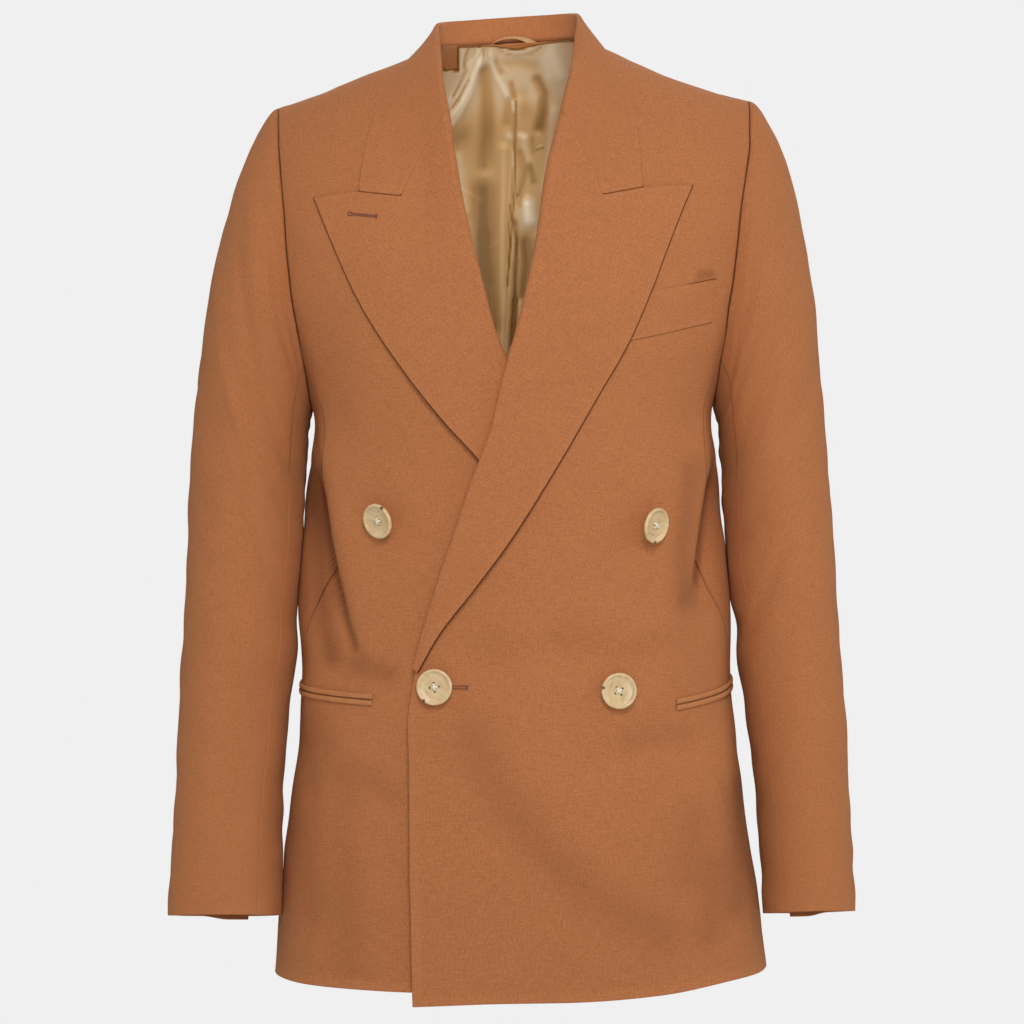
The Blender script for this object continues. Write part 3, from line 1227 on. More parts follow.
def planeGrain(grid, turn):      # straight threads, turned on the cut by some degrees
    turn = math.radians(turn)
    x, z = grid[..., 0], grid[..., 2]
    return x * math.cos(turn) + z * math.sin(turn), z * math.cos(turn) - x * math.sin(turn)


lapelGrids = {side: lapelGrid(side) for side in sideNames}
for side, sideName in sideNames.items():
    outer, inner = wallOf(lapelGrids[side], cloth["facing"])
    along = edgeDistance(outer, "left")[-1]
    corner = lapels["bandPoints"] + lapels["roll"] + 1
    gorgeEnd = along[corner - 1] + lapels["gorgeLength"]
    gorgeRim = (0.001, keptAlong(along, gorgeEnd))
    rims = {"right": cloth["fold"], "high": gorgeRim, "low": cloth["fold"], "left": cloth["seam"]}
    addShell("cloth_lapel_" + sideName, outer, inner, side, rims, [wool], ["facing_" + sideName],
             planeGrain(outer, lapels["grainTurn"]),
             tone=-lapels["edgeDark"] * bell(edgeDistance(outer, "right"), 0.0012)
             - lapels["seamLine"] * bell(edgeDistance(outer, "high"), 0.0009))
print("lapels made")


# collar

collar = {
    "roll": 0.0026, "rollSteps": 12, "half": 90, "across": 36, "standSteps": 6, "meets": 0.3, "easing": 70,
    "edgeLay": 0.0002, "edgeDark": 1.3,
}


def collarPoint(width, height, isBack, layer):
    turn = frontTurn(width, height)
    base = bodyPoint(math.pi - turn if isBack else turn, height)
    return base + outward(base) * layer


def collarRow(share, seam, fold, edge, gorge, across):
    up = unit(fold - seam)
    fall = edge - fold
    normal = unit(fall - up * fall.dot(up))
    if share < 0.5:
        chestNormal = outward(bodyPoint(frontTurn(seam[:1], seam[2:]), seam[2:]))[0]
        blend = float(easeStep((0.5 - share) / 0.25))
        normal = normal * (1 - blend) + chestNormal * blend
        normal = unit(normal - up * normal.dot(up))
    radius = collar["roll"]
    centre = fold - up * radius + normal * radius
    turns = np.linspace(0, math.pi, collar["rollSteps"] + 1)
    roll = [centre - normal * radius * math.cos(turn) + up * radius * math.sin(turn) for turn in turns]
    start = roll[-1]
    line = start + (edge - start) * across[:, None]
    if share < 0.28:
        bend = polyline(gorge, across) - polyline([gorge[0], gorge[-1]], across)
        line[:, ::2] += bend * (1 - share / 0.28) ** 2
    lay = cloth["lay"] + (collar["edgeLay"] - cloth["lay"]) * easeStep((across - 0.5) / 0.45)
    outer = keepClear(line, cloth["wall"] + lay + cloth["facing"] / 2 - 0.0003)
    outer[0] = start
    stand = [seam + (roll[0] - seam) * part for part in np.linspace(0, 1, collar["standSteps"])[:-1]]
    return np.array(stand + roll + list(outer[1:]))


def collarHalf(side):
    columns = [smoothCurve(collarStations, index) for index in range(1, 10)]
    gorge = lapels["gorge"][side]
    endFold, _, _, _, endEdge = np.array(gorge) - lapels["gorge"][1]
    across = places(collar["across"], 0.075, low=False)
    shares = places(collar["half"], 0.2, high=False)
    rows = []
    for share in shares:
        station = np.array([float(column(share)) for column in columns])
        fade = float(easeStep(1 - share / 0.5))
        station[[0, 1, 2, 4]] += np.tile(endFold, 2) * fade
        station[5:7] += endEdge * fade
        seam = collarPoint(*station[:2], station[7] > 0.5, cloth["wall"] / 2)
        edge = collarPoint(*station[5:7], station[8] > 0.5, cloth["wall"] + collar["edgeLay"] + cloth["facing"] / 2)
        fold = station[2:5]
        if share < 0.4:
            chest = layFront(side, fold[:1], fold[2:], cloth["wall"] / 2)[0]
            blend = float(easeStep((share - 0.28) / 0.12))
            fold = chest * (1 - blend) + fold * blend
        rows.append(collarRow(share, seam, fold, edge, gorge, across))
    grid = np.array(rows)
    top = lapelGrids[side][-1]        # the collar's end follows the lapel's top edge
    turned = lapels["bandPoints"] + lapels["roll"]
    ownLength, topLength = runLength(grid[0, turned:]), runLength(top[turned:])
    met = [np.interp(ownLength, topLength, column) for column in top[turned:].T]
    matched = np.concatenate([top[:turned], np.stack(met, axis=-1)])
    matched[:, 2] += lapels["gap"]
    matched[turned:, 2] += 0.00035 * easeStep((ownLength - lapels["gorgeLength"]) / 0.004)
    fade = easeStep(1 - shares / collar["meets"])
    grid = grid + (matched - grid[0])[None] * fade[:, None, None]
    eased = easeStep((shares - 0.02) / 0.1) * easeStep((0.66 - shares) / 0.12)
    for _ in range(collar["easing"]):
        grid[1:-1] += eased[1:-1, None, None] * 0.5 * ((grid[:-2] + grid[2:]) / 2 - grid[1:-1])
    return grid


rightHalf = collarHalf(-1)
rightHalf[..., 0] *= -1
collarGrid = np.concatenate([collarHalf(1), rightHalf[-2::-1]])
outer, inner = wallOf(collarGrid, cloth["facing"])
along = edgeDistance(outer, "left")[0]
gorgeEnd = along[lapels["bandPoints"] + lapels["roll"]] + lapels["gorgeLength"]
gorgeRim = (0.001, keptAlong(along, gorgeEnd))
rims = {"right": cloth["fold"], "low": gorgeRim, "high": gorgeRim, "left": cloth["seam"]}
fromLow = edgeDistance(outer, "low")
fromEnds = np.minimum(fromLow, edgeDistance(outer, "high"))
roundNeck = fromLow[:, outer.shape[1] // 2][:, None] + 0 * fromLow
addShell("cloth_collar", outer, inner, 1, rims, [wool], ["collar"],
         (edgeDistance(outer, "left"), roundNeck),
         tone=-collar["edgeDark"] * bell(edgeDistance(outer, "right"), 0.0012)
         - lapels["seamLine"] * bell(fromEnds, 0.0009))
print("collar made")


# back lining

lining = {
    # millimetres: line from the middle and height, half width, how far the fold stands in; how light it is
    "folds": [
        ([(-23.1, 25.4), (-32.3, 11.4), (-44.2, -10.9), (-51.8, -24.3)], 1.1, 1.6, 0.45),
        ([(-36.6, 3.7), (-47.6, -19.4)], 1.2, -1.4, -0.75),
        ([(-25.6, 18.8), (-34.1, 2.7), (-45.1, -19.4), (-51, -28.4)], 1, 1.5, 0.4),
        ([(-35, -5.9), (-47.7, -28.5)], 0.8, -1, -0.65),
        ([(-24, 14.4), (-32.5, -4.3), (-42.7, -24.4), (-51.2, -36.7)], 1.7, 1.6, 0.4),
        ([(-24.9, 7.6), (-35.2, -17.9), (-49.6, -42.5)], 3.3, 2.2, 0.35),
        ([(-31.4, 24.2), (-37.3, 15.1), (-39, 4.7)], 0.8, -0.6, -0.55),
        ([(-26.4, 22.2), (-31.5, 13.1)], 0.9, -0.8, -0.55), ([(-23.1, 22.8), (-21.6, 13.4)], 0.7, -0.6, -0.45),
        ([(-19.8, 20.9), (-16.6, 10.6)], 1, -0.5, -0.25),
        ([(-38.8, 25.6), (-40.6, 11.8), (-42.4, 1.3)], 2.1, 0, 0.25),
        ([(-16.6, 15.7), (-12.6, 2), (-2.1, -17.5)], 2.6, 1.2, 0.35), ([(-11.7, 8.7), (-6.8, 0.9)], 3, -0.8, -0.4),
        ([(-7.6, 6), (-1.8, 3.2)], 1.7, 0.4, 0.2),
        ([(-13.1, 23.9), (-5.8, 16.7), (5.7, 13.2), (20.6, 13.6), (29, 17.9)], 0.7, -0.4, -0.35),
        ([(-9.9, 22), (2.5, 17.1), (17.4, 17), (27.4, 20.4)], 2, 0.8, 0.25),
        ([(-1, 7.3), (9, 7.7), (22.2, 3.9)], 4.5, -0.6, -0.25),
        ([(-20.9, 0.5), (-18.7, -21.4), (-18.2, -46.2), (-21.1, -75.1)], 5.4, -3, -0.5),
        ([(-22.2, -95.8), (-22.7, -137.2), (-21.4, -166.1), (-18.7, -207.5)], 7.9, -3.4, -0.85),
        ([(-21, -133), (-22.9, -149.6), (-20.6, -170.3)], 5, -1, -0.35),
        ([(-48.1, -54.1), (-39.7, -49.3)], 6.6, 0, -0.3),
        ([(-43.3, -70.7), (-40.3, -91.4), (-37.3, -112.1)], 6.6, 2, 0.25),
        ([(-47.7, -90.5), (-33.8, -97.3), (-23.1, -104.9)], 0.7, 0.6, 0.3),
        ([(0.3, -25.8), (-1.6, -39.8)], 4.1, -1, -0.3), ([(3.6, -23.4), (4.4, -30)], 1.3, 0.6, 0.65),
        ([(-0.9, -50.6), (0.8, -51.4)], 2.9, 0.6, 0.35), ([(3.1, -64.7), (2.9, -76.3)], 1, 0.5, 0.4),
        ([(2.2, -8.5), (4.5, -18.4)], 2.5, -0.6, -0.5),
        ([(-4.4, -63), (-6.8, -120.8), (-8.5, -187), (-8.2, -228.3)], 5, 2, 0.1),
        ([(6.1, -22.6), (5.2, -63.1), (3.9, -96.1), (1, -129.2), (-3.4, -176.3)], 0.7, -1.2, -1.0),
        ([(0, -108.5), (-2.4, -137.4), (-2.3, -158.1)], 0.7, -0.4, -0.6),
        ([(3.1, -127.6), (2.3, -155.7)], 1.2, 0.6, 0.3),
        ([(3.1, -122.6), (5.4, -137.5), (4.3, -162.3), (3.1, -187.1), (0.2, -224.3)], 1.8, -1.6, -0.75),
        ([(3.1, -187.1), (1.1, -211.9), (0, -233.4)], 2.5, -1.4, -0.6),
        ([(24.5, -7.3), (30.2, -17.9), (29.1, -32), (25.7, -45.1)], 4, -2.6, -0.65),
        ([(12, -17.7), (15.1, -31.8)], 5.8, -0.4, -0.25), ([(9.1, -49.9), (14, -51.6)], 2.5, 0.8, 0.45),
        ([(12.3, -54.9), (16.2, -73.1)], 4.1, 1, 0.25), ([(23, -62.5), (28.8, -61.3)], 0.7, -0.3, -0.7),
        ([(23.8, -60.4), (27.1, -59.6)], 0.7, 0.3, 0.4), ([(20.4, -64.9), (19.8, -53.3)], 1.7, -0.4, -0.3),
        ([(8.9, -64.8), (14.4, -81.4), (9.2, -100.3)], 2.5, -0.8, -0.25),
        ([(17, -75.6), (20.1, -89.7)], 2.1, -0.8, -0.45), ([(6.7, -101.1), (8.3, -109.4)], 2.1, -0.8, -0.45),
        ([(14.1, -109.5), (15.6, -121.1)], 6.2, 4, 1.0),
        ([(12.8, -140.1), (14.3, -158.3), (10.6, -183.1)], 5.4, -2, -0.65),
        ([(38.9, 13.4), (44.4, -2.3)], 5.8, 1.2, 0.35), ([(32.2, 9.8), (35.3, -4.4)], 4.1, 0.8, 0.2),
        ([(38.3, -30.4), (33.7, -63.4), (28.3, -96.5)], 3.7, 1.2, 0.25),
        ([(26.3, -125.4), (21, -150.1)], 2.5, 0.8, 0.25), ([(6.4, -191.3), (6.9, -216.1)], 2.1, 1, 0.25),
        ([(-22.8, -145.4), (-11.1, -139)], 0.8, 0.4, 0.2), ([(64, -70), (70, -460)], 13, 3, 0.2),
        ([(-72, -70), (-74, -480)], 14, 3.2, 0.2), ([(95, -150), (98, -520)], 12, -2.6, -0.25),
        ([(-100, -150), (-102, -520)], 12, -2.6, -0.25),
    ],
    "pleat": {
        "depth": 0.003, "top": (0.0061, -0.0201), "end": (-0.0029, -0.1763), "width": 0.0007, "reach": 0.012,
        "bottom": -0.3,
    },
    "patch": (-0.0436, 0.0012),       # the facing's end shows this far from the middle, above this height
    "scoop": (0.0085, 0.016, 0.0034),   # middle, half width and depth of the dip in the lining's top edge
    "least": 0.0012, "rise": 0.0052,     # room to the back's cloth, how far the middle stands up above the seam
    "contrast": 1.25, "highLight": 0.46,
    "fineFrom": -0.27, "lowRows": 44, "highRows": 165, "across": 74, "fineAcross": 50, "fineShare": 0.34,
}


def liningHalf(side, rowPlaces, columnPlaces):
    turns, heights = fineSheet(backSheet(side), rowPlaces, columnPlaces)
    turns = math.pi - (math.pi - turns) * 0.985
    heights = heights + 0.02 * (1 - rowPlaces[:, None]) ** 3
    fromTop = heights[-1:] - heights
    reach = easeStep((0.46 - np.abs(np.sin(turns))) / 0.06)
    heights = heights + lining["rise"] * easeStep(1 - fromTop / 0.02) * reach
    base = bodyPoint(turns, heights)
    inside = -(cloth["lay"] + cloth["lining"]) - 0.0025 * easeStep((heights + 0.08) / 0.05)
    pressed = drapeOut(side, turns, heights) + creaseOut(side, turns, base[..., 0], heights)
    return base, inside, outward(base), np.minimum(pressed, 0)


def liningFolds(x, z):
    inside, tone = 0 * x, 0 * x
    for line, width, depth, light in lining["folds"]:
        near = bell(alongLine(line, x * 1000, z * 1000)[0], width)
        inside = inside - depth / 1000 * near
        tone = tone + light * near
    pleat = lining["pleat"]
    way = (pleat["end"][0] - pleat["top"][0]) / (pleat["end"][1] - pleat["top"][1])
    side = (x - pleat["top"][0] - way * (z - pleat["top"][1])) / pleat["width"]
    along = easeStep((pleat["top"][1] + 0.006 - z) / 0.012) * easeStep((z - pleat["bottom"]) / 0.12)
    step = 0.5 * (1 + np.tanh(side)) * np.exp(-np.clip(side, 0, None) * pleat["width"] / pleat["reach"])
    inside = inside - pleat["depth"] * step * along
    tone = np.clip(lining["contrast"] * tone + lining["highLight"] * easeStep((z + 0.05) / 0.04), -1, 1)
    return inside - 0.0006 * np.tanh((x - lining["patch"][0]) / 0.0004), tone


def liningPlaces():      # close rows and columns where the folds are small
    dense = np.linspace(0, 1, 900)
    heights = fineSheet(backSheet(1), dense, np.array([0.0, 1.0]))[1][:, 0]
    ends = np.array([0.0, 0.0003, 0.0007, 0.0012, 0.0019])
    low = np.linspace(heights[0] + 0.005, lining["fineFrom"], lining["lowRows"])
    high = np.linspace(lining["fineFrom"], heights[-1] - 0.003, lining["highRows"])[1:]
    rows = np.interp(np.concatenate([heights[0] + ends, low, high, heights[-1] - ends[::-1]]), heights, dense)
    start = np.linspace(0, lining["fineShare"], lining["fineAcross"])[:-1]
    rest = np.linspace(lining["fineShare"], 0.985, lining["across"] - lining["fineAcross"])
    return rows, np.concatenate([start, rest, 1 - ends[::-1] / 0.2])


def joined(right, left):      # both halves as one sheet, points mirrored at the middle
    mirror = (-1, 1, 1) if right.ndim > 2 else 1
    return np.concatenate([right[:, :0:-1] * mirror, left], axis=1)


rowPlaces, columnPlaces = liningPlaces()
halves = [liningHalf(side, rowPlaces, columnPlaces) for side in (-1, 1)]
base, inside, normal, pressed = (joined(right, left) for right, left in zip(*halves))
foldsIn, tone = liningFolds(base[..., 0], base[..., 2])
inside = pressed - (lining["least"] + 0.0006 * np.logaddexp(0, (-inside - foldsIn - lining["least"]) / 0.0006))
outer = base + normal * inside[..., None]
inner = base + normal * (inside - cloth["lining"])[..., None]
middle, halfWidth, dip = lining["scoop"]
fromTop = base[-1:, :, 2] - base[..., 2]
corner = np.minimum(lining["patch"][0] - base[..., 0], base[..., 2] - lining["patch"][1])
band = 0.0004 + dip * bell(base[..., 0] - middle, halfWidth) - fromTop
facing = np.clip(0.5 + np.maximum(corner, band) / 0.0016, 0, 1)     # wool of the facing, not satin
addShell("cloth_lining_back", outer, inner, 1, allRound(0.0008, 0.2), [satin], ["lining_back"],
         (base[..., 0], base[..., 2]), None, "satin",
         tone * (1 - facing) - 3.0 * facing)
print("lining made")


# pockets

pockets = {
    # side, distance of the inner end from the middle, its height, height at the side
    "hip": [(1, 0.1206, -0.5138, -0.5), (-1, 0.1104, -0.5066, -0.4995)],
    "backTurn": 106.0,
    "jet": 0.0043, "between": 0.0006, "bulge": 0.0011,
    "columns": 90, "rows": 10,
    # how dark the cloth is where the jets meet, beyond them, and at the mouth and the foot of the welt
    "meetDark": 2.0, "beyondDark": 1.5, "mouthDark": 2.2, "footDark": 1.7,
}


def jetPair(side, innerWidth, innerHeight, sideHeight, shift):
    start = frontTurn(innerWidth, innerHeight)
    turns = start + (math.radians(pockets["backTurn"]) - start) * places(pockets["columns"], 0.1)
    toSide = (turns - start) / (math.pi / 2 - start)
    middle = innerHeight + (sideHeight - innerHeight) * np.minimum(toSide, 1.15)
    part = places(pockets["rows"], pockets["jet"], steps=(0.0002, 0.0005))
    heights = middle[None, :] + shift + (part[:, None] - 0.5) * pockets["jet"]
    turns = np.repeat(turns[None, :], len(part), axis=0)
    swell = pockets["bulge"] * np.sqrt(np.clip(1 - (2 * part[:, None] - 1) ** 2, 0, 1)) + 0 * turns
    low = cloth["wall"] + 0.0002
    return layOn(side, turns, heights, low + cloth["trim"] * 0.7 + swell), layOn(side, turns, heights, low)


for side, innerWidth, innerHeight, sideHeight in pockets["hip"]:
    for rowName, shift in (("upper", 0.5), ("lower", -0.5)):
        fromMouth = shift * (pockets["jet"] + pockets["between"])
        outer, inner = jetPair(side, innerWidth, innerHeight, sideHeight, fromMouth)
        node = "jet_" + sideNames[side] + "_" + rowName
        between = bell(edgeDistance(outer, "low" if shift > 0 else "high"), 0.0008)
        beyond = bell(edgeDistance(outer, "high" if shift > 0 else "low"), 0.0006)
        addShell("cloth_" + node, outer, inner, side, allRound(0.0008, 0.25), [jetWool], [node],
                 tone=-pockets["meetDark"] * between - pockets["beyondDark"] * beyond)

across = places(welt["across"], 0.07)
low, high = (polyline(welt["corners"][first:first + 2], across) for first in (0, 2))
flat = low + (high - low) * places(welt["rows"], 0.03)[:, None, None]
outer, inner = (layFront(1, flat[..., 0], flat[..., 1], cloth["wall"] + lift) for lift in (0.0009, 0.0001))
mouth = bell(edgeDistance(outer, "high"), 0.001) * easeStep((edgeDistance(outer, "left") - 0.036) / 0.012)
foot = bell(edgeDistance(outer, "low"), 0.0007)
addShell("cloth_breast_welt", outer, inner, 1, allRound(0.001, 0.25), [wool], ["breast_welt"],
         tone=-pockets["mouthDark"] * mouth - pockets["footDark"] * foot)
print("pockets made")


# threads and the hanger loop

def tubeMesh(name, rings, grain):      # rings of points round each path, capped at both ends
    points, faces = [], []
    for ring in rings:
        index = len(points) + np.arange(ring.shape[0] * ring.shape[1]).reshape(ring.shape[:2])
        follow = np.roll(index, -1, axis=1)
        sides = np.stack([index[:-1], follow[:-1], follow[1:], index[1:]], axis=-1)
        faces += sides.reshape(-1, 4).tolist() + [index[0, ::-1].tolist(), index[-1].tolist()]
        points += ring.reshape(-1, 3).tolist()
    mesh = bpy.data.meshes.new(name)
    mesh.from_pydata(points, [], faces)
    finishMesh(mesh, np.concatenate([part.reshape(-1, 2) for part in grain]), np.zeros(len(points)))
    return mesh


def threadMesh(name, paths, radius):
    rings, grain = [], []
    turns = np.arange(6) * math.pi / 3
    for path in paths:
        path = np.array(path, dtype=float)
        heading = unit(np.gradient(path, axis=0))
        sideWay = unit(np.cross(heading, (0.31, -0.62, 0.72)))
        upWay = np.cross(sideWay, heading)
        offsets = sideWay[:, None] * np.cos(turns)[:, None] + upWay[:, None] * np.sin(turns)[:, None]
        rings.append(path[:, None] + offsets * radius)
        grain.append(np.stack(np.meshgrid(runLength(path), turns * radius, indexing="ij"), axis=-1))
    return tubeMesh(name, rings, grain)


loop = {
    # distance from the middle, height, degrees that the ribbon is turned there
    "path": [(-0.0142, 0.018, 86.0), (-0.01, 0.021, 80.0), (-0.002, 0.0238, 74.0), (0.007, 0.024, 62.0),
             (0.015, 0.0218, 34.0), (0.0225, 0.0178, 14.0), (0.03, 0.0134, 8.0)],
    "wide": 0.0024, "thin": 0.00042, "standOff": 0.005, "steps": 60, "sides": 16,
    "flat": (0.01, 0.052), "area": 0.0002,
}


def ribbonMesh():
    rows = np.array(loop["path"])
    line = smoothLine(rows[:, :2], np.linspace(0, 1, loop["steps"]))
    depth = bodyPoint(math.pi, body["neckMiddle"])[1] - loop["standOff"]
    bulge = 0.0016 * np.sin(np.linspace(0, math.pi, loop["steps"]))
    path = np.stack([line[:, 0], depth - bulge - 4.0 * line[:, 0] ** 2, line[:, 1]], axis=-1)
    heading = unit(np.gradient(path, axis=0))
    across = unit(np.cross(heading, (0.0, -1.0, 0.0)))
    facing = np.cross(across, heading)
    twist = np.radians(np.interp(line[:, 0], rows[:, 0], rows[:, 2]))[:, None]
    wide = across * np.cos(twist) + facing * np.sin(twist)
    thin = facing * np.cos(twist) - across * np.sin(twist)
    turns = np.linspace(0, 2 * math.pi, loop["sides"], endpoint=False)[:, None]
    rings = path[:, None] + wide[:, None] * np.cos(turns) * loop["wide"] + thin[:, None] * np.sin(turns) * loop["thin"]
    grain = np.stack(np.meshgrid(np.linspace(0, 0.05, loop["steps"]), turns * 0.001, indexing="ij"), axis=-1)
    return tubeMesh("hanger loop", [rings], [grain])


loopPiece = addPiece("cloth_hanger_loop", ribbonMesh(), [satin], ["hanger_loop"])
print("hanger loop made")


# buttons

buttons = {
    # name, side it lies on, distance from the middle, height, shank, degrees out and down, turn of its mark
    "places": [
        ("button_upper_left", 1, 0.102, -0.3742, 0.0066, 28.0, 13.0, -93.0),
        ("button_lower_left", 1, 0.076, -0.5018, 0.0016, 0.0, 2.0, 168.0),
        ("button_lower_right", 1, -0.0612, -0.4968, 0.0016, 0.0, 2.0, -128.0),
        ("button_upper_right", -1, 0.1018, -0.3676, 0.0048, 16.0, 13.0, 54.0),
    ],
    # radius, height of the outline from the middle of the dish down to the back
    "outline": [
        (0.0, 0.00215), (0.0025, 0.00216), (0.005, 0.00222), (0.0075, 0.00236), (0.0092, 0.00256),
        (0.0104, 0.00282), (0.0111, 0.00325), (0.0117, 0.00392), (0.0124, 0.00425), (0.0132, 0.00412),
        (0.0138, 0.0035), (0.014, 0.0028), (0.0139, 0.002), (0.0134, 0.0012), (0.0124, 0.00052),
        (0.0108, 0.00014), (0.009, 0.00003), (0.005, 0.0), (0.0, 0.0),
    ],
    "steps": 96, "holeRadius": 0.0009, "holeDistance": 0.0034, "holeSides": 20,
    "threads": 3, "threadRadius": 0.00036, "threadRise": 0.0011, "threadReach": 0.66,
}


def frontFrame(side, width, height):
    reach = 0.006
    widths = np.array([width, width + reach, width - reach, width, width])
    heights = np.array([height, height, height, height + reach, height - reach])
    points = layFront(side, widths, heights, cloth["wall"])
    points[:, 0] *= side
    points = lean(points)
    normal = Vector(points[1] - points[2]).cross(Vector(points[3] - points[4])).normalized() * side
    return Vector(points[0]), normal


def leaned(normal, sideways, down):
    turn = math.atan2(normal.x, -normal.y)
    turn += math.copysign(math.radians(sideways), turn)
    dip = math.asin(-normal.z) + math.radians(down)
    return Vector((math.sin(turn) * math.cos(dip), -math.cos(turn) * math.cos(dip), -math.sin(dip)))


def meshOf(name, work):
    mesh = bpy.data.meshes.new(name)
    work.to_mesh(mesh)
    work.free()
    return mesh


def turnedButton():
    work = bmesh.new()
    outline = smoothLine(buttons["outline"], np.linspace(0, 1, 60))
    turns = np.arange(buttons["steps"]) * 2 * math.pi / buttons["steps"]
    rings = [
        [work.verts.new((radius * math.cos(turn), radius * math.sin(turn), height)) for turn in turns]
        for radius, height in outline[1:-1]
    ]
    top, bottom = work.verts.new((0, 0, outline[0][1])), work.verts.new((0, 0, outline[-1][1]))
    for first, second in zip(rings, rings[1:]):
        for index in range(buttons["steps"]):
            follow = (index + 1) % buttons["steps"]
            work.faces.new((first[index], first[follow], second[follow], second[index]))
    for index in range(buttons["steps"]):
        follow = (index + 1) % buttons["steps"]
        work.faces.new((top, rings[0][follow], rings[0][index]))
        work.faces.new((bottom, rings[-1][index], rings[-1][follow]))
    bmesh.ops.recalc_face_normals(work, faces=work.faces)
    mesh = meshOf("button blank", work)
    blank = addObject("button blank", mesh)
    work = bmesh.new()
    for index in range(4):
        turn = math.radians(45 + 90 * index)
        at = (buttons["holeDistance"] * math.cos(turn), buttons["holeDistance"] * math.sin(turn), 0.002)
        bmesh.ops.create_cone(
            work, cap_ends=True, segments=buttons["holeSides"], radius1=buttons["holeRadius"],
            radius2=buttons["holeRadius"], depth=0.02, matrix=Matrix.Translation(at),
        )
    drills = addObject("drills", meshOf("drills", work))
    cut = blank.modifiers.new("holes", "BOOLEAN")
    cut.operation = "DIFFERENCE"
    cut.solver = "EXACT"
    cut.object = drills
    turned = bpy.data.meshes.new_from_object(blank.evaluated_get(bpy.context.evaluated_depsgraph_get()))
    bpy.data.objects.remove(blank, do_unlink=True)
    bpy.data.objects.remove(drills, do_unlink=True)
    turned.materials.clear()
    spots = np.array([vertex.co for vertex in turned.vertices])
    finishMesh(turned, spots[:, :2], np.zeros(len(spots)))
    turned.set_sharp_from_angle(angle=math.radians(50))
    return turned


def buttonThreads():      # a cross of strands over the dish and the shank under the button
    paths = []
    reach = buttons["holeDistance"] * buttons["threadReach"]
    dish = buttons["outline"][0][1]
    for turn, rise in ((math.pi / 4, 0.00045), (math.pi * 3 / 4, 0.0)):
        way, across = np.array([math.cos(turn), math.sin(turn)]), np.array([-math.sin(turn), math.cos(turn)])
        for strand in range(buttons["threads"]):
            shift = across * (strand - (buttons["threads"] - 1) / 2) * 0.00052
            path = [(*(way * (reach + 0.0007) + shift / 2), dish - 0.0012)]
            for part in np.linspace(0, 1, 9):
                lift = (buttons["threadRise"] + rise) * math.sin(math.pi * part) ** 0.6
                path.append((*(way * (reach + 0.0004) * (1 - 2 * part) + shift), dish + 0.0001 + lift))
            path.append((*(-way * (reach + 0.0007) + shift / 2), dish - 0.0012))
            paths.append(path)
    for turn in np.arange(7) * 2 * math.pi / 7:
        spot = np.array([math.cos(turn), math.sin(turn)]) * 0.0009
        paths.append([(*spot, 0.0006), (*spot, -0.0006), (*spot * 1.3, -0.0022)])
    return threadMesh("button threads", paths, buttons["threadRadius"])


hornMesh, sewingMesh = turnedButton(), buttonThreads()
for name, side, width, height, shank, sideways, down, mark in buttons["places"]:
    spot, normal = frontFrame(side, width, height)
    facing = leaned(normal, sideways, down)
    level = Vector((0, 0, 1)).cross(facing).normalized()     # the button's own level direction
    upright = facing.cross(level)
    turnTo = Matrix((level, upright, facing)).transposed().to_4x4() @ Matrix.Rotation(math.radians(mark), 4, "Z")
    seat = Matrix.Translation(spot + normal * shank) @ turnTo
    for mesh, finish, slotName, prefix, nodes in (
        (hornMesh, horn, "horn", "horn_", [name]), (sewingMesh, creamThread, "wool", "thread_", ()),
    ):
        own = mesh.copy()
        own.transform(seat)
        addPiece(prefix + name, own, [finish], nodes)
print("buttons made")


# stitched buttonholes

holes = {
    # on which piece, from x, z, to x, z, 1 where the eye is at the start, closed by a bar at the end
    "places": [
        ("cloth_lapel_right", (-0.1262, -0.1296), (-0.1035, -0.1325), 1),
        ("cloth_front_left", (-0.062, -0.4962), (-0.038, -0.4968), 0),
    ],
    "slit": {1: 0.00022, 0: 0.00055}, "eye": (0.0011, 0.0019),
    "stitch": 0.00085, "spacing": 0.00055, "radius": 0.0002, "lift": 0.00016,
}


def stitchedHole(name, cover, start, end, hasEye):
    cover = bpy.data.objects[cover].data
    tree = BVHTree.FromPolygons([vertex.co for vertex in cover.vertices], [face.vertices for face in cover.polygons])
    start, end = np.array(start), np.array(end)
    way, length = unit(end - start), np.linalg.norm(end - start)
    across = np.array([-way[1], way[0]])

    def lifted(spot, lift):
        found = tree.ray_cast(Vector((spot[0], -1.0, spot[1])), Vector((0, 1, 0)))[0]
        return found.x, found.y - lift, found.z

    paths = []
    eye = holes["eye"][1] if hasEye else 0.0
    slit, lift = holes["slit"][hasEye], holes["lift"]
    for sign in (1, -1):
        for far in np.arange(eye * 1.6, length, holes["spacing"]):
            inside = start + way * far + across * sign * slit
            outside = inside + across * sign * holes["stitch"]
            paths.append([lifted(inside, -0.0002), lifted(inside, lift), lifted((inside + outside) / 2, lift * 1.6),
                          lifted(outside, lift), lifted(outside, -0.0002)])
    if hasEye:
        for turn in np.linspace(0.7, 2 * math.pi - 0.7, 18):
            ray = way * math.cos(turn) + across * math.sin(turn)
            near, far = (start + way * eye + ray * reach for reach in holes["eye"])
            paths.append([lifted(near, -0.0002), lifted(near, lift), lifted(far, lift), lifted(far, -0.0002)])
    for step in np.linspace(-0.0004, 0.0004, 3):
        spots = [end + way * step + across * part for part in np.linspace(-0.0017, 0.0017, 5)]
        paths.append([lifted(spot, lift * 2.2) for spot in spots])
    addPiece(name, threadMesh(name, paths, holes["radius"]), [maroonThread])


for number, (cover, start, end, hasEye) in enumerate(holes["places"]):
    stitchedHole("buttonhole_" + str(number + 1), cover, start, end, hasEye)
print("buttonholes made")


# floor, light and camera

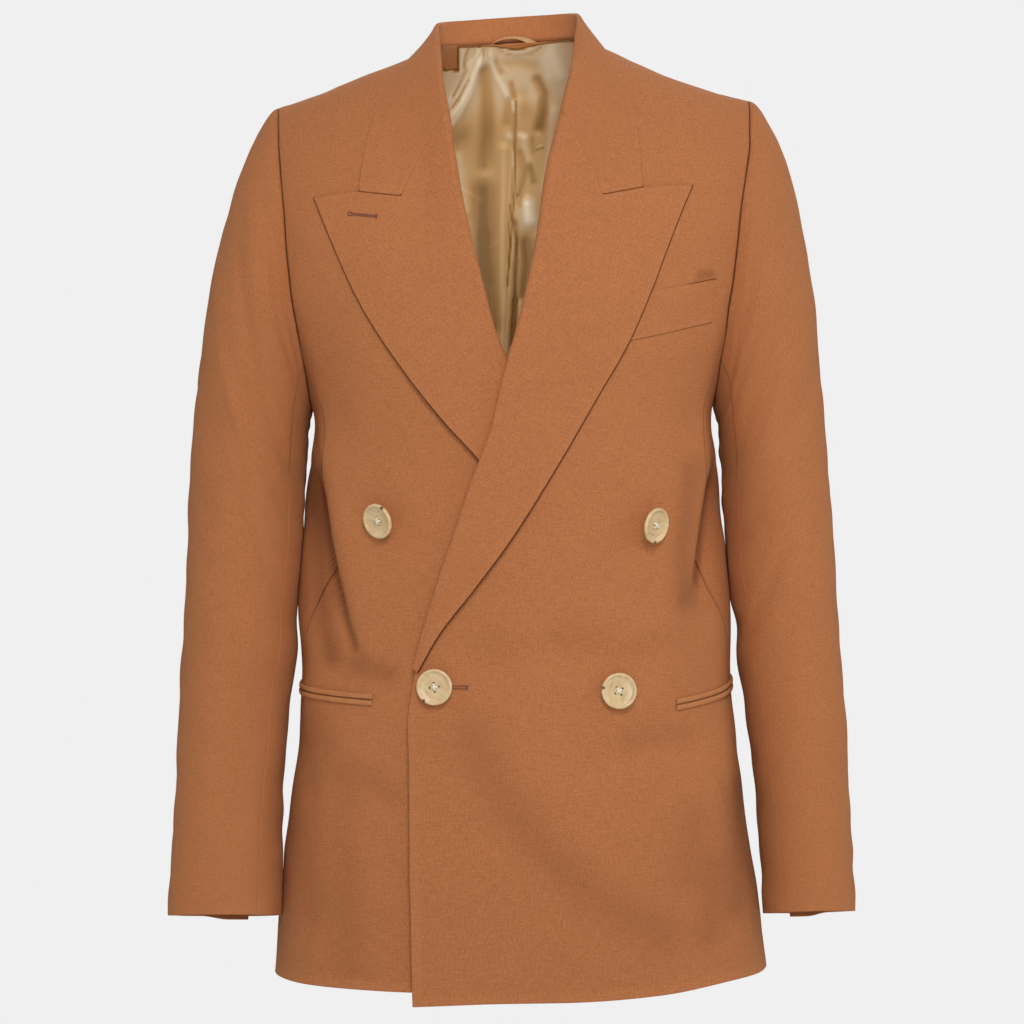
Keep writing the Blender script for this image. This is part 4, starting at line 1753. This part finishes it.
studio = {
    "paper": 0.871, "fillLight": 0.24, "floorHeight": -1.12, "floorReach": 2.2,
    # place, width, height, power, colour, where it is aimed
    "lamps": [
        ((0.25, -2.2, 1.4), 1.0, 0.8, 35.0, (1.0, 0.985, 0.965), (0.0, 0.0, -0.1)),
        ((0.05, -1.8, -0.14), 0.9, 0.9, 8.4, (1.0, 0.995, 0.99), (0.0, 0.0, -0.26)),
        ((2.4, -0.6, 0.3), 1.2, 1.6, 15.0, (1.0, 1.0, 1.0), (0.0, 0.0, -0.3)),
        ((-2.4, -0.6, 0.3), 1.2, 1.6, 9.0, (1.0, 1.0, 1.0), (0.0, 0.0, -0.3)),
        ((0.2, 2.2, 1.9), 2.4, 2.4, 34.0, (1.0, 1.0, 1.0), (0.0, 0.0, -0.36)),
        ((-0.005, 0.0, -0.08), 0.05, 0.26, 0.041, (1.0, 0.98, 0.94), (-0.005, 1.0, -0.08)),
    ],
}


def makeStudio():
    world = bpy.data.worlds.new("studio")
    scene.world = world
    world.use_nodes = True
    tree = world.node_tree
    paper, fill = tree.nodes["Background"], tree.nodes.new("ShaderNodeBackground")
    paper.inputs["Color"].default_value = (studio["paper"],) * 3 + (1.0,)
    fill.inputs["Color"].default_value = (1.0, 1.0, 1.0, 1.0)
    fill.inputs["Strength"].default_value = studio["fillLight"]
    choose = tree.nodes.new("ShaderNodeMixShader")
    sources = (tree.nodes.new("ShaderNodeLightPath").outputs["Is Camera Ray"], fill.outputs[0], paper.outputs[0])
    for socket, source in zip(choose.inputs, sources):
        wire(tree, socket, source)
    wire(tree, tree.nodes["World Output"].inputs["Surface"], choose.outputs[0])
    for index, (spot, width, height, power, colour, aim) in enumerate(studio["lamps"]):
        lamp = bpy.data.lights.new("softbox " + str(index + 1), "AREA")
        lamp.shape, lamp.size, lamp.size_y, lamp.energy, lamp.color = "RECTANGLE", width, height, power, colour
        holder = addObject(lamp.name, lamp)
        holder.location = spot
        holder.rotation_euler = (Vector(aim) - Vector(spot)).to_track_quat("-Z", "Y").to_euler()
    work = bmesh.new()
    bmesh.ops.create_circle(work, cap_ends=True, segments=96, radius=studio["floorReach"],
                            matrix=Matrix.Translation((0, 0, studio["floorHeight"])))
    mesh = meshOf("floor", work)
    finish, tree, shader = newFinish("pale floor", Roughness=0.9)
    dye = placeGroup(tree, dyeGroup, Place=placeOf(tree), Patch=2.0)
    wire(tree, shader["Base Color"], blendColours(tree, dye["Tone"], (0.8, 0.8, 0.8), (0.84, 0.84, 0.84)))
    mesh.materials.append(finish)
    addObject("floor", mesh)


def makeCamera():
    view = {"lens": 131.8, "sensor": 36.0, "place": (-0.0017, -3.0, -0.3624), "tilt": 90.0, "roll": -0.75}
    camera = addObject("camera", bpy.data.cameras.new("camera"))
    camera.data.lens = view["lens"]
    camera.data.sensor_width = view["sensor"]
    camera.matrix_world = (
        Matrix.Translation(view["place"])
        @ Matrix.Rotation(math.radians(view["tilt"]), 4, "X")
        @ Matrix.Rotation(math.radians(view["roll"]), 4, "Z")
    )
    scene.camera = camera


makeStudio()
makeCamera()
scene.view_settings.view_transform = "Standard"
for name, width, length, area in sheetSizes:
    print("sheet", name, round(width, 3), "x", round(length, 3), "m, area", round(area, 4))
print("studio made")
